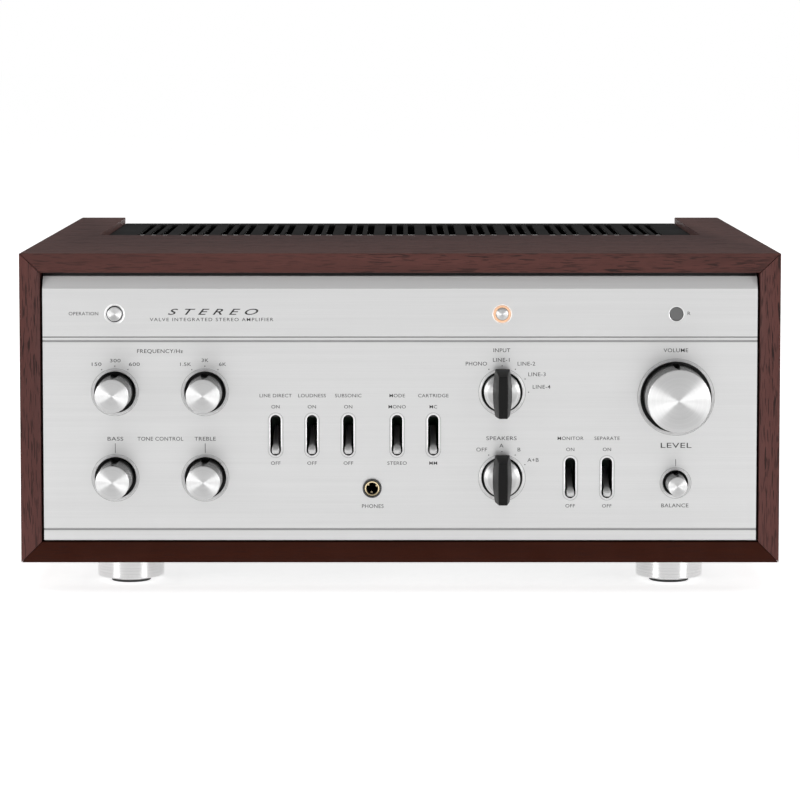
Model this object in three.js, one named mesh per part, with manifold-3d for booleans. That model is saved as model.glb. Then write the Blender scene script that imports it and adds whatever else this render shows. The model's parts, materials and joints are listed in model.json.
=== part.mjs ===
// A valve integrated amplifier in a wooden sleeve: brushed aluminium front with six round knobs, two
// pointer knobs, seven lever switches and a push button, valves and transformers inside, terminals behind.
// Millimetres, +Z up. The front looks towards -Y and the origin is on the floor, under the middle.
import * as THREE from 'three';
import { mergeVertices } from 'three/addons/utils/BufferGeometryUtils.js';
import Module from 'manifold-3d';

// ---- Driving dimensions ----

const WIDTH = 440;
const CASE_DEPTH = 380;
const CASE_HEIGHT = 180;
const FOOT_HEIGHT = 17;
const KNOB_REACH = 19.5; // how far the knobs stand in front of the case
const TERMINAL_REACH = 3.5; // how far the speaker terminals stand behind the case
const WOOD = 11.5; // board thickness
const WOOD_SLOPE = 3; // the boards' front edges slope back by this towards the panel
const GAP = 0.3; // between pieces that touch

const TOP = FOOT_HEIGHT + CASE_HEIGHT;
const HALF = WIDTH / 2;
const INNER = HALF - WOOD; // half width of the opening in the sleeve
const FRONT_Y = KNOB_REACH - (CASE_DEPTH + KNOB_REACH + TERMINAL_REACH) / 2;

const PANEL = { half: 207, bottom: 29.5, top: 183.3, y: 3.5, thick: 8 };
const PANEL_BACK = PANEL.y + PANEL.thick;
const PANEL_BEVEL = { height: 7, depth: 5 }; // the sloping band along the panel's top
const PANEL_GROOVES = [ // the engraved lines right across the panel
  { z: 148.2, wide: 0.8 },
  { z: 145.9, wide: 1.3 },
  { z: 36.1, wide: 1.3 },
];
const GROOVE_DEPTH = 0.9;

const PANEL_STUDS = { x: 196, rows: [44, 138], radius: 3 }; // hold the panel off the plate behind it
const SUBPANEL = { y: 13, thick: 1.5, top: 185.2 };
const SUBPANEL_BACK = SUBPANEL.y + SUBPANEL.thick;
const BOARD_Y = 44; // the control boards stand this far behind the case's front
const BOARD = 1.6; // circuit board thickness
const REAR = { y: 362, thick: 1.5 };
const REAR_FACE = REAR.y + REAR.thick;
const SHEET = 1.5;

const ROW_TOP = 161.6; // heights of the rows of controls
const ROW_UPPER = 116.1;
const ROW_LOWER = 66.1;
const ROW_LEVERS = 91;
const COLUMN = { low: -165.3, high: -113.1, select: 59.2, volume: 160.1 };

const KNOB_BACK = PANEL_BACK - 0.5;
const SHAFT = 3;
const KNOBS = [
  { name: 'low_turnover_knob', x: COLUMN.low, z: ROW_UPPER, radius: 10, hole: 12.1, face: -KNOB_REACH },
  { name: 'high_turnover_knob', x: COLUMN.high, z: ROW_UPPER, radius: 10, hole: 12.1, face: -KNOB_REACH },
  { name: 'bass_knob', x: COLUMN.low, z: ROW_LOWER, radius: 10, hole: 12.1, face: -KNOB_REACH },
  { name: 'treble_knob', x: COLUMN.high, z: ROW_LOWER, radius: 10, hole: 12.1, face: -KNOB_REACH },
  { name: 'volume_knob', x: COLUMN.volume, z: 113.2, radius: 18.4, hole: 20.4, face: -KNOB_REACH },
  { name: 'balance_knob', x: COLUMN.volume, z: 63.1, radius: 5.8, hole: 7.3, face: -13 },
];
const DIALS = [
  { name: 'input', x: COLUMN.select, z: ROW_UPPER },
  { name: 'speaker', x: COLUMN.select, z: ROW_LOWER },
];
const DIAL = { radius: 10.4, hole: 11.9, face: -4 };
const POINTER = { // the grip bar at the dial, then its narrower front face
  low: -13.1, top: 14.3, waist: 5.3, end: 3.5,
  faceHalf: 2.9, faceEnd: 2.55, faceTop: 11.2, faceLow: -12.6,
};

const LEVER = { slotWide: 6.2, slotTall: 23.8, wide: 4.5, tall: 3.4, reach: 34, pivot: 31.5, tilt: 16 };
const LEVERS = [
  { name: 'direct_lever', x: -72.2, z: ROW_LEVERS },
  { name: 'loudness_lever', x: -51.1, z: ROW_LEVERS },
  { name: 'subsonic_lever', x: -30, z: ROW_LEVERS },
  { name: 'mode_lever', x: -1.7, z: ROW_LEVERS },
  { name: 'cartridge_lever', x: 19.3, z: ROW_LEVERS },
  { name: 'monitor_lever', x: 98.9, z: ROW_LOWER },
  { name: 'separate_lever', x: 120.2, z: ROW_LOWER },
];

const BUTTON = { radius: 4.15, hole: 4.8, face: 2, rod: 2 };
const LAMP = { cap: 3.6, ring: 4.95, hole: 5.1 };
const WINDOW = { radius: 4.05, hole: 4.3 };
const JACK = { x: -16.2, z: 60, bore: 3.3, nut: 5.5, hole: 4.9, depth: 32 };
const RING = 1.7; // width of the chamfer round each knob hole
const SMALL_RING = 1.3;

const VENT = {
  half: 190, front: 177.5, drop: 4, pitch: 26.9, slot: 4.6, web: 2.9, blocks: 13,
  margin: 11, rearMargin: 22, // the rear margin reaches past the rear panel
};
const FOOT = { x: 159.8, inset: 44, radius: 19.6, step: 12, stepHeight: 2.8 };

const JACK_FIELD = { columns: 9, pitch: 16, x: 62, rows: [131, 109], barrel: 4.15, bore: 1.7, reach: 378 };
const POSTS = { columns: [-110, -85, -45, -20], rows: [95, 62], bush: 7, stud: 2, cap: 6.4, bore: 2.3 };
const POST_PLATE = 3.2;
const BUSH_FACE = REAR_FACE + GAP + POST_PLATE + 2.4;
const GROUND = { x: 190, z: 80 };
const INLET = { x: -168, z: 62, half: 12.2, halfTall: 8, flange: 25, flangeTall: 14, depth: 17 };

// ---- Shapes ----

const wasm = await Module();
wasm.setup();

/** A closed geometry as a manifold-3d solid. */
function solid(geometry) {
  const bare = geometry.clone();
  bare.deleteAttribute('normal');
  bare.deleteAttribute('uv');
  const merged = mergeVertices(bare, 1e-4);
  return new wasm.Manifold(new wasm.Mesh({
    numProp: 3,
    vertProperties: merged.attributes.position.array,
    triVerts: new Uint32Array(merged.index.array),
  }));
}

/** A manifold-3d solid as a geometry. */
function geometryOf(made) {
  const mesh = made.getMesh();
  return new THREE.BufferGeometry()
    .setAttribute('position', new THREE.BufferAttribute(mesh.vertProperties, 3))
    .setIndex(new THREE.BufferAttribute(mesh.triVerts, 1));
}

const cut = (base, tools) =>
  geometryOf(tools.reduce((left, tool) => left.subtract(solid(tool)), solid(base)));

const join = (pieces) =>
  geometryOf(pieces.slice(1).reduce((sum, piece) => sum.add(solid(piece)), solid(pieces[0])));

function box(x0, x1, y0, y1, z0, z1) {
  return new THREE.BoxGeometry(x1 - x0, y1 - y0, z1 - z0)
    .translate((x0 + x1) / 2, (y0 + y1) / 2, (z0 + z1) / 2);
}

/** A closed outline of [radius, along] points turned about the Y axis, facing out either way round. */
function turned(outline, sides) {
  let area = 0;
  for (let i = 0; i + 1 < outline.length; i += 1) {
    area += outline[i][0] * outline[i + 1][1] - outline[i + 1][0] * outline[i][1];
  }
  const ordered = area > 0 ? outline : [...outline].reverse();
  return new THREE.LatheGeometry(ordered.map(([r, y]) => new THREE.Vector2(r, y)), sides);
}

const rod = (radius, y0, y1, sides = 16) =>
  turned([[0, y0], [radius, y0], [radius, y1], [0, y1]], sides);

const upright = (outline, sides) => turned(outline, sides).rotateX(Math.PI / 2);

/** An outline of [x, z] points as a plate that is thick along Y. */
function plate(outline, y0, y1) {
  const shape = new THREE.Shape(outline.map(([x, z]) => new THREE.Vector2(x, z)));
  return new THREE.ExtrudeGeometry(shape, { depth: y1 - y0, bevelEnabled: false })
    .rotateX(Math.PI / 2)
    .translate(0, y1, 0);
}

/** A slot with round ends, upright, as a plate. */
function slotPlate(x, z, wide, tall, y0, y1, steps = 5) {
  const reach = (tall - wide) / 2;
  const outline = [];
  for (let i = 0; i <= 2 * steps + 1; i += 1) {
    const upper = i <= steps;
    const angle = ((upper ? i : i - 1) / steps) * Math.PI;
    outline.push([
      x + (wide / 2) * Math.cos(angle),
      z + (upper ? reach : -reach) + (wide / 2) * Math.sin(angle),
    ]);
  }
  return plate(outline, y0, y1);
}

// ---- Materials ----

const finish = (color, roughness, metalness) =>
  new THREE.MeshStandardMaterial({ color, roughness, metalness });

const WALNUT = finish(0x4a2520, 0.4, 0);
const ALUMINIUM = finish(0xdcdcdc, 0.35, 1);
const BLACK_STEEL = finish(0x1c1a1a, 0.5, 0.4);
const PLATED_STEEL = finish(0x9a9c9e, 0.4, 1);
const BLACK_PLASTIC = finish(0x1a1a1b, 0.45, 0);
const GREEN_BOARD = finish(0x2c4a33, 0.6, 0);
const GLASS = finish(0xcfd6d8, 0.05, 0);
const AMBER = finish(0xf08a45, 0.4, 0);
const GOLD = finish(0xc9a85a, 0.3, 1);
const DARK_WINDOW = finish(0x5a5a5c, 0.2, 0);

const amplifier = new THREE.Group();
const inCase = new THREE.Group(); // y runs back from the case's front, z up from the floor
inCase.position.y = FRONT_Y;
amplifier.add(inCase);

function add(name, geometry, material, x = 0, y = 0, z = 0, parent = inCase) {
  const mesh = new THREE.Mesh(geometry, material);
  mesh.name = name;
  mesh.position.set(x, y, z);
  parent.add(mesh);
}

// ---- Wooden sleeve ----

const MITRE = 0.15; // each board stops this far short of its mitre plane
const RAIL_DEPTH = 20;

/** Slopes the front edges of a board: every corner at y 0 goes back as it nears the panel. */
function slopeFront(geometry, depthIn) {
  const at = geometry.attributes.position;
  for (let i = 0; i < at.count; i += 1) {
    if (Math.abs(at.getY(i)) < 1e-3) {
      at.setY(i, (WOOD_SLOPE * depthIn(at.getX(i), at.getZ(i))) / WOOD);
    }
  }
  return geometry;
}

function topBoard() {
  const outline = [
    [-HALF + MITRE, TOP],
    [HALF - MITRE, TOP],
    [INNER - MITRE, TOP - WOOD],
    [-INNER + MITRE, TOP - WOOD],
  ].reverse();
  const board = slopeFront(plate(outline, 0, CASE_DEPTH), (x, z) => TOP - z);
  return cut(board, [box(-VENT.half, VENT.half, VENT.front, CASE_DEPTH + 1, TOP - WOOD - 1, TOP + 1)]);
}

function sideBoard(side) {
  const outline = [
    [side * HALF, FOOT_HEIGHT + MITRE],
    [side * INNER, FOOT_HEIGHT + WOOD + MITRE],
    [side * INNER, TOP - WOOD - MITRE],
    [side * HALF, TOP - MITRE],
  ];
  const mitred = slopeFront(
    plate(side < 0 ? outline : outline.reverse(), 0, CASE_DEPTH),
    (x) => HALF - Math.abs(x),
  );
  const corner = [
    [side * HALF, FOOT_HEIGHT],
    [side * INNER, FOOT_HEIGHT],
    [side * INNER, FOOT_HEIGHT + 2 * WOOD],
    [side * HALF, FOOT_HEIGHT + 2 * WOOD],
  ];
  const square = plate(side < 0 ? corner : corner.reverse(), RAIL_DEPTH + GAP, CASE_DEPTH);
  return join([mitred, square]);
}

function bottomRail() {
  const outline = [
    [-HALF + MITRE, FOOT_HEIGHT],
    [-INNER + MITRE, FOOT_HEIGHT + WOOD],
    [INNER - MITRE, FOOT_HEIGHT + WOOD],
    [HALF - MITRE, FOOT_HEIGHT],
  ].reverse();
  return slopeFront(plate(outline, 0, RAIL_DEPTH), (x, z) => z - FOOT_HEIGHT);
}

add('cabinet_top', topBoard(), WALNUT);
add('cabinet_left', sideBoard(-1), WALNUT);
add('cabinet_right', sideBoard(1), WALNUT);
add('cabinet_bottom_rail', bottomRail(), WALNUT);

// ---- Sheet metal ----

/** The vent cover: a slotted plate with its edges folded down, let into the top board. */
function ventGrille() {
  const half = VENT.half - GAP;
  const front = VENT.front + GAP;
  const back = CASE_DEPTH - 1;
  const face = TOP - VENT.drop;
  const fold = 8;
  const pan = cut(box(-half, half, front, back, face - fold, face), [
    box(-half + SHEET, half - SHEET, front + SHEET, back - SHEET, face - fold - 1, face - SHEET),
  ]);
  const step = VENT.slot + VENT.web;
  const slots = [];
  for (let block = 0; block < VENT.blocks; block += 1) {
    const middle = (block - (VENT.blocks - 1) / 2) * VENT.pitch;
    for (let i = -1; i <= 1; i += 1) {
      const x = middle + i * step;
      slots.push(box(x - VENT.slot / 2, x + VENT.slot / 2,
        front + VENT.margin, back - VENT.rearMargin, face - SHEET - 1, face + 1));
    }
  }
  return cut(pan, slots);
}

/** The chassis: a shallow tray with its two long edges folded up. */
function chassisTray() {
  const half = INNER - 1;
  const low = FOOT_HEIGHT + 0.5;
  const edge = 28;
  return plate([
    [-half, low], [half, low], [half, low + edge], [half - SHEET, low + edge], [half - SHEET, low + SHEET],
    [-half + SHEET, low + SHEET], [-half + SHEET, low + edge], [-half, low + edge],
  ], RAIL_DEPTH + 1, REAR.y - GAP);
}

const CHASSIS_FLOOR = FOOT_HEIGHT + 0.5 + SHEET + GAP;

function rearPanel() {
  const sheet = box(-INNER + 1, INNER - 1, REAR.y, REAR_FACE, FOOT_HEIGHT + 1, TOP - WOOD - 1);
  return cut(sheet, [box(
    INLET.x - INLET.half - 3, INLET.x + INLET.half + 3, REAR.y - 1, REAR_FACE + 1,
    INLET.z - INLET.halfTall - 3, INLET.z + INLET.halfTall + 3,
  )]);
}

add('vent_grille', ventGrille(), BLACK_STEEL);
add('chassis_tray', chassisTray(), PLATED_STEEL);
add('rear_panel', rearPanel(), BLACK_STEEL);

// ---- Front panel and the plate behind it ----

const roundControls = [
  ...KNOBS.map((k) => ({ ...k, ring: RING, shaft: SHAFT })),
  ...DIALS.map((d) => ({ ...d, hole: DIAL.hole, ring: RING, shaft: SHAFT })),
  { x: COLUMN.low, z: ROW_TOP, hole: BUTTON.hole, ring: SMALL_RING, shaft: BUTTON.rod },
  { x: COLUMN.select, z: ROW_TOP, hole: LAMP.hole, ring: 0.8 },
  { x: COLUMN.volume, z: ROW_TOP, hole: WINDOW.hole, ring: 0.5 },
  { x: JACK.x, z: JACK.z, hole: JACK.hole, shaft: 7.8 },
];

function frontPanel() {
  const { bottom, top, y } = PANEL;
  const outline = [[PANEL_BACK, bottom], [y, bottom]];
  for (const groove of [...PANEL_GROOVES].sort((a, b) => a.z - b.z)) {
    outline.push([y, groove.z - groove.wide / 2], [y + GROOVE_DEPTH, groove.z - groove.wide / 2]);
    outline.push([y + GROOVE_DEPTH, groove.z + groove.wide / 2], [y, groove.z + groove.wide / 2]);
  }
  outline.push([y, top - PANEL_BEVEL.height], [y + PANEL_BEVEL.depth, top], [PANEL_BACK, top]);
  const shape = new THREE.Shape(outline.map(([py, pz]) => new THREE.Vector2(py, pz)));
  const bar = new THREE.ExtrudeGeometry(shape, { depth: 2 * PANEL.half, bevelEnabled: false })
    .applyMatrix4(new THREE.Matrix4().makeBasis(
      new THREE.Vector3(0, 1, 0), new THREE.Vector3(0, 0, 1), new THREE.Vector3(1, 0, 0),
    ))
    .translate(-PANEL.half, 0, 0);
  const holes = roundControls.map((c) => {
    const ring = c.ring ?? 0;
    const outlineOfHole = [[0, y - 1], [c.hole + ring, y - 1], [c.hole + ring, y]];
    outlineOfHole.push([c.hole, y + ring / 2], [c.hole, PANEL_BACK + 1], [0, PANEL_BACK + 1]);
    return turned(outlineOfHole, 20).translate(c.x, 0, c.z);
  });
  const slots = LEVERS.map((l) =>
    slotPlate(l.x, l.z, LEVER.slotWide, LEVER.slotTall, y - 1, PANEL_BACK + 1));
  const studs = [-1, 1].flatMap((side) => PANEL_STUDS.rows.map((z) =>
    rod(PANEL_STUDS.radius, PANEL_BACK - 1, SUBPANEL.y - GAP, 8).translate(side * PANEL_STUDS.x, 0, z)));
  return join([cut(bar, [...holes, ...slots]), ...studs]);
}

function frontSubpanel() {
  const half = INNER - 1;
  const sheet = box(-half, half, SUBPANEL.y, SUBPANEL_BACK, FOOT_HEIGHT + WOOD + 2, SUBPANEL.top);
  const holes = roundControls.filter((c) => c.shaft).map((c) =>
    rod(c.shaft + 1, SUBPANEL.y - 1, SUBPANEL_BACK + 1, 10).translate(c.x, 0, c.z));
  const slots = LEVERS.map((l) =>
    box(l.x - 3.5, l.x + 3.5, SUBPANEL.y - 1, SUBPANEL_BACK + 1, l.z - 9.5, l.z + 9.5));
  return cut(sheet, [...holes, ...slots]);
}

add('front_panel', frontPanel(), ALUMINIUM);
add('front_subpanel', frontSubpanel(), BLACK_STEEL);

// ---- Knobs ----

const NOTCH = { radius: 4.25, depth: 0.6 }; // the groove that holds the knob's black index line
const SHAFT_END = BOARD_Y - 4;

/** A round knob with its shaft, about its own axis, front towards -Y. */
function knob({ radius, face }) {
  const edge = 0.5;
  const body = turned([
    [0, face], [radius - edge, face], [radius, face + edge], [radius, KNOB_BACK],
    [SHAFT, KNOB_BACK], [SHAFT, SHAFT_END], [0, SHAFT_END],
  ], 24);
  const notch = turned([
    [0, face - 1], [NOTCH.radius, face - 1], [NOTCH.radius, KNOB_BACK + 1], [0, KNOB_BACK + 1],
  ], 16).translate(0, 0, radius - NOTCH.depth + NOTCH.radius);
  return cut(body, [notch]);
}

for (const item of KNOBS) add(item.name, knob(item), ALUMINIUM, item.x, 0, item.z);

function dialBase() {
  return turned([
    [0, DIAL.face], [DIAL.radius - 0.4, DIAL.face], [DIAL.radius, DIAL.face + 0.4],
    [DIAL.radius, KNOB_BACK], [SHAFT, KNOB_BACK], [SHAFT, SHAFT_END], [0, SHAFT_END],
  ], 24);
}

/** The black grip bar of a pointer knob: a long hexagon at the dial, tapering to a narrow flat face. */
function pointerBar() {
  const p = POINTER;
  const rear = DIAL.face - GAP;
  const hexagon = (low, top, end, waist) =>
    [[-end, low], [end, low], [waist, 0], [end, top], [-end, top], [-waist, 0]];
  const base = hexagon(p.low, p.top, p.end, p.waist);
  const face = hexagon(p.faceLow, p.faceTop, p.faceEnd, p.faceHalf);
  const loft = plate(base, 0, 1);
  const at = loft.attributes.position;
  for (let i = 0; i < at.count; i += 1) {
    const corner = base.findIndex(([x, z]) => Math.hypot(x - at.getX(i), z - at.getZ(i)) < 1e-3);
    if (at.getY(i) < 0.5) at.setXYZ(i, face[corner][0], -KNOB_REACH, face[corner][1]);
    else at.setXYZ(i, base[corner][0], rear, base[corner][1]);
  }
  return loft;
}

for (const item of DIALS) {
  add(`${item.name}_dial`, dialBase(), ALUMINIUM, item.x, 0, item.z);
  add(`${item.name}_pointer`, pointerBar(), BLACK_PLASTIC, item.x, 0, item.z);
}

// ---- Lever switches and push button ----

/** A lever about its pivot, pointing straight forward, with a rounded tip and a cross pin. */
function lever() {
  const { wide, tall, reach } = LEVER;
  const shape = new THREE.Shape();
  shape.moveTo(4, -tall / 2);
  shape.lineTo(4, tall / 2);
  shape.lineTo(-reach + tall / 2, tall / 2);
  shape.absarc(-reach + tall / 2, 0, tall / 2, Math.PI / 2, (3 * Math.PI) / 2);
  const bar = new THREE.ExtrudeGeometry(shape, { depth: wide, bevelEnabled: false, curveSegments: 4 })
    .applyMatrix4(new THREE.Matrix4().makeBasis(
      new THREE.Vector3(0, 1, 0), new THREE.Vector3(0, 0, 1), new THREE.Vector3(1, 0, 0),
    ))
    .translate(-wide / 2, 0, 0);
  const pin = new THREE.CylinderGeometry(1.4, 1.4, 6.4, 8).rotateZ(Math.PI / 2);
  return join([bar, pin]);
}

for (const item of LEVERS) {
  const hung = new THREE.Group();
  hung.position.set(item.x, LEVER.pivot, item.z);
  hung.rotation.x = THREE.MathUtils.degToRad(LEVER.tilt);
  inCase.add(hung);
  add(item.name, lever(), PLATED_STEEL, 0, 0, 0, hung);
}

const BUTTON_END = 26;
add('power_button', turned([
  [0, BUTTON.face], [BUTTON.radius - 0.3, BUTTON.face], [BUTTON.radius, BUTTON.face + 0.3],
  [BUTTON.radius, 9], [BUTTON.rod, 9], [BUTTON.rod, BUTTON_END], [0, BUTTON_END],
], 16), ALUMINIUM, COLUMN.low, 0, ROW_TOP);

// ---- Lamp, remote window, headphone socket ----

add('lamp_ring', turned([
  [LAMP.cap + 0.2, PANEL.y - 0.6], [LAMP.ring - 0.3, PANEL.y - 0.6], [LAMP.ring, PANEL.y - 0.3],
  [LAMP.ring, 12.5], [LAMP.cap + 0.2, 12.5], [LAMP.cap + 0.2, PANEL.y - 0.6],
], 16), AMBER, COLUMN.select, 0, ROW_TOP);
add('lamp_cap', rod(LAMP.cap, PANEL.y - 1.2, 12.5, 16), ALUMINIUM, COLUMN.select, 0, ROW_TOP);
add('remote_window', rod(WINDOW.radius, PANEL.y + 0.2, 12.5, 16), DARK_WINDOW, COLUMN.volume, 0, ROW_TOP);

const JACK_MOUTH = PANEL.y - 1.6;
const JACK_BODY = SUBPANEL_BACK + GAP;
add('headphone_jack', turned([
  [JACK.bore, JACK_MOUTH], [JACK.nut - 0.4, JACK_MOUTH], [JACK.nut, JACK_MOUTH + 0.4],
  [JACK.nut, PANEL.y - GAP], [JACK.hole - 0.2, PANEL.y - GAP], [JACK.hole - 0.2, JACK_BODY],
  [7, JACK_BODY], [7, JACK_BODY + JACK.depth], [0, JACK_BODY + JACK.depth],
  [0, JACK_MOUTH + JACK.depth], [JACK.bore, JACK_MOUTH + JACK.depth], [JACK.bore, JACK_MOUTH],
], 16), GOLD, JACK.x, 0, JACK.z);

// ---- Control boards, upright behind the front ----

/** A control or switch body in front of a board, with a round hole that its shaft turns in. */
function socketBody(x, z, radius, front, bore) {
  return turned([
    [bore, front], [radius, front], [radius, BOARD_Y + 0.5], [bore, BOARD_Y + 0.5], [bore, front],
  ], 12).translate(x, 0, z);
}

/** The two cheeks that a lever swings between. */
const leverCheeks = (l) => [-1, 1].map((side) => {
  const near = l.x + side * 3.5;
  const far = l.x + side * 5;
  return box(Math.min(near, far), Math.max(near, far), 22, BOARD_Y + 0.5, l.z - 10, l.z + 10);
});

function controlBoard(outline, sockets, levers) {
  const board = plate(outline, BOARD_Y, BOARD_Y + BOARD);
  const bodies = sockets.map((s) => socketBody(s.x, s.z, s.body, s.front ?? 20, s.bore ?? SHAFT + 0.3));
  return join([board, ...bodies, ...levers.flatMap(leverCheeks)]);
}

const [lowTurn, highTurn, bass, treble, volume, balance] = KNOBS;
add('tone_board', controlBoard([ // leaves its lower right corner free for the headphone socket
  [-186, 45], [-96, 45], [-96, 77], [33, 77], [33, 176], [-186, 176],
], [
  { ...lowTurn, body: 9 }, { ...highTurn, body: 9 }, { ...bass, body: 9 }, { ...treble, body: 9 },
  { x: COLUMN.low, z: ROW_TOP, body: 7, front: 21, bore: BUTTON.rod + 0.4 },
], LEVERS.slice(0, 5)), GREEN_BOARD);
add('selector_board', controlBoard([[37, 45], [188, 45], [188, 134], [37, 134]], [
  ...DIALS.map((d) => ({ ...d, body: 11 })), { ...volume, body: 13 }, { ...balance, body: 8 },
], LEVERS.slice(5)), GREEN_BOARD);

// ---- Transformers, valves and main board ----

/** A transformer: a stack of laminations with a winding bobbin through it, on its own mounting foot. */
function transformer(wide, deep, tall) {
  const foot = 2;
  const core = box(-wide / 2, wide / 2, -deep / 4, deep / 4, foot, tall);
  const windings = box(-wide * 0.36, wide * 0.36, -deep / 2, deep / 2, tall * 0.2, tall * 0.82);
  const base = box(-wide / 2 - 8, wide / 2 + 8, -deep / 2, deep / 2, 0, foot);
  return join([core, windings, base]);
}

const DECK = 66; // underside of the main board
const VALVE_Y = 272;
add('power_transformer', transformer(104, 84, 112), PLATED_STEEL, 0, 118, CHASSIS_FLOOR);
add('output_transformer_left', transformer(78, 70, 84), BLACK_STEEL, -132, 118, CHASSIS_FLOOR);
add('output_transformer_right', transformer(78, 70, 84), BLACK_STEEL, 132, 118, CHASSIS_FLOOR);

/** The main board on its four pillars. */
function mainBoard() {
  const pillars = [-1, 1].flatMap((side) => [200, 344].map((y) =>
    upright([[0, 0], [4, 0], [4, DECK - CHASSIS_FLOOR + 0.5], [0, DECK - CHASSIS_FLOOR + 0.5]], 10)
      .rotateX(Math.PI)
      .translate(side * 142, y, DECK + 0.5)));
  return join([box(-150, 150, 192, 352, DECK, DECK + BOARD), ...pillars]);
}

add('main_board', mainBoard(), GREEN_BOARD);

/** A valve in its socket: round base, glass envelope drawn in to a dome. */
function valve(radius, height) {
  const base = Math.min(radius * 0.9, 14);
  return turned([
    [0, 0], [base, 0], [base, 12], [radius * 0.82, 14], [radius, 24], [radius, height - radius],
    [radius * 0.8, height - radius * 0.35], [radius * 0.4, height - 1.2], [0, height],
  ], 12).rotateX(Math.PI / 2);
}

const BOARD_TOP = DECK + BOARD + GAP;
[-120, -48, 48, 120].forEach((x, i) =>
  add(`power_valve_${i + 1}`, valve(18, 92), GLASS, x, VALVE_Y, BOARD_TOP));
[-82, 82].forEach((x, i) => add(`driver_valve_${i + 1}`, valve(11, 58), GLASS, x, 218, BOARD_TOP));
add('filter_capacitor', upright([[0, 0], [22, 0], [22, 58], [21, 60], [0, 60]], 16),
  BLACK_PLASTIC, 0, 226, BOARD_TOP);

// ---- Terminals on the back ----

const STRIP_FACE = REAR_FACE + GAP + 2;

/** The strip of phono sockets, with the earth terminal's stud at its lower end. */
function inputJacks() {
  const { columns, pitch, x, rows, barrel, bore, reach } = JACK_FIELD;
  const y0 = REAR_FACE + GAP;
  const strip = box(x - 9, x + (columns - 1) * pitch + 9, y0, STRIP_FACE, GROUND.z - 11, rows[0] + 11);
  const earth = turned([
    [0, y0 + 1], [5, y0 + 1], [5, STRIP_FACE + 2], [1.6, STRIP_FACE + 2],
    [1.6, STRIP_FACE + 11], [0, STRIP_FACE + 11],
  ], 10).translate(GROUND.x, 0, GROUND.z);
  const barrels = [];
  for (let i = 0; i < columns; i += 1) {
    for (const z of rows) {
      barrels.push(turned([
        [0, y0 + 1], [barrel, y0 + 1], [barrel, reach], [bore, reach], [bore, reach - 8], [0, reach - 8],
      ], 8).translate(x + i * pitch, 0, z));
    }
  }
  return join([strip, earth, ...barrels]);
}

/** The moulded plate with the eight bushes and threaded studs that the terminal caps screw on to. */
function speakerTerminals() {
  const y0 = REAR_FACE + GAP;
  const pieces = [box(-125, -5, y0, y0 + POST_PLATE, 47, 110)];
  for (const x of POSTS.columns) {
    for (const z of POSTS.rows) {
      pieces.push(turned([
        [0, y0 + 1], [POSTS.bush, y0 + 1], [POSTS.bush, BUSH_FACE], [POSTS.stud, BUSH_FACE],
        [POSTS.stud, CASE_DEPTH - 1], [0, CASE_DEPTH - 1],
      ], 10).translate(x, 0, z));
    }
  }
  return join(pieces);
}

/** A terminal's screw cap: a collar with a bore right through for the stud and a plug. */
function terminalCap(radius, bore, y0, y1) {
  return turned([
    [bore, y0], [radius * 0.8, y0], [radius, y0 + 1.5], [radius, y1 - 1],
    [radius - 1, y1], [bore, y1], [bore, y0],
  ], 10);
}

function powerInlet() {
  const { half, halfTall, flange, flangeTall, depth } = INLET;
  const y0 = REAR_FACE + GAP;
  const mouth = y0 + 2.5;
  const body = join([
    box(-flange, flange, y0, mouth, -flangeTall, flangeTall),
    box(-half - 2, half + 2, mouth - depth - 3, y0 + 0.5, -halfTall - 2, halfTall + 2),
  ]);
  return cut(body, [box(-half, half, mouth - depth, mouth + 1, -halfTall, halfTall)]);
}

add('input_jacks', inputJacks(), GOLD);
add('speaker_terminals', speakerTerminals(), BLACK_PLASTIC);
const CAP_END = CASE_DEPTH + TERMINAL_REACH;
POSTS.rows.forEach((z, row) => POSTS.columns.forEach((x, i) =>
  add(`terminal_cap_${'ab'[row]}${i + 1}`,
    terminalCap(POSTS.cap, POSTS.bore, BUSH_FACE + GAP, CAP_END), BLACK_PLASTIC, x, 0, z)));
add('ground_nut', terminalCap(4.5, 1.9, STRIP_FACE + 2 + GAP, STRIP_FACE + 10), GOLD, GROUND.x, 0, GROUND.z);
add('power_inlet', powerInlet(), BLACK_PLASTIC, INLET.x, 0, INLET.z);

// ---- Feet ----

for (const [row, y] of [['front', FOOT.inset], ['rear', CASE_DEPTH - FOOT.inset]]) {
  for (const [side, x] of [['left', -FOOT.x], ['right', FOOT.x]]) {
    add(`foot_${row}_${side}`, upright([
      [0, 0], [FOOT.step, 0], [FOOT.step, FOOT.stepHeight], [FOOT.radius - 0.8, FOOT.stepHeight],
      [FOOT.radius, FOOT.stepHeight + 0.8], [FOOT.radius, FOOT_HEIGHT + 0.2], [0, FOOT_HEIGHT + 0.2],
    ], 20), ALUMINIUM, x, y, 0);
  }
}

export default amplifier;
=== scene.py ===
# %% [markdown]
# # A valve amplifier in a wooden sleeve
# The bodies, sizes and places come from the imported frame. This script gives them their looks. Every
# piece is placed from a CAD node's own box, so nothing is fitted by hand. Lengths are in metres, and
# MM turns a maker's millimetres into them. Each step first says what the real piece is, then makes it.

# %% Load the frame
import json
from math import cos, pi, radians, sin

import bmesh
import bpy
from mathutils import Matrix, Vector


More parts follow.
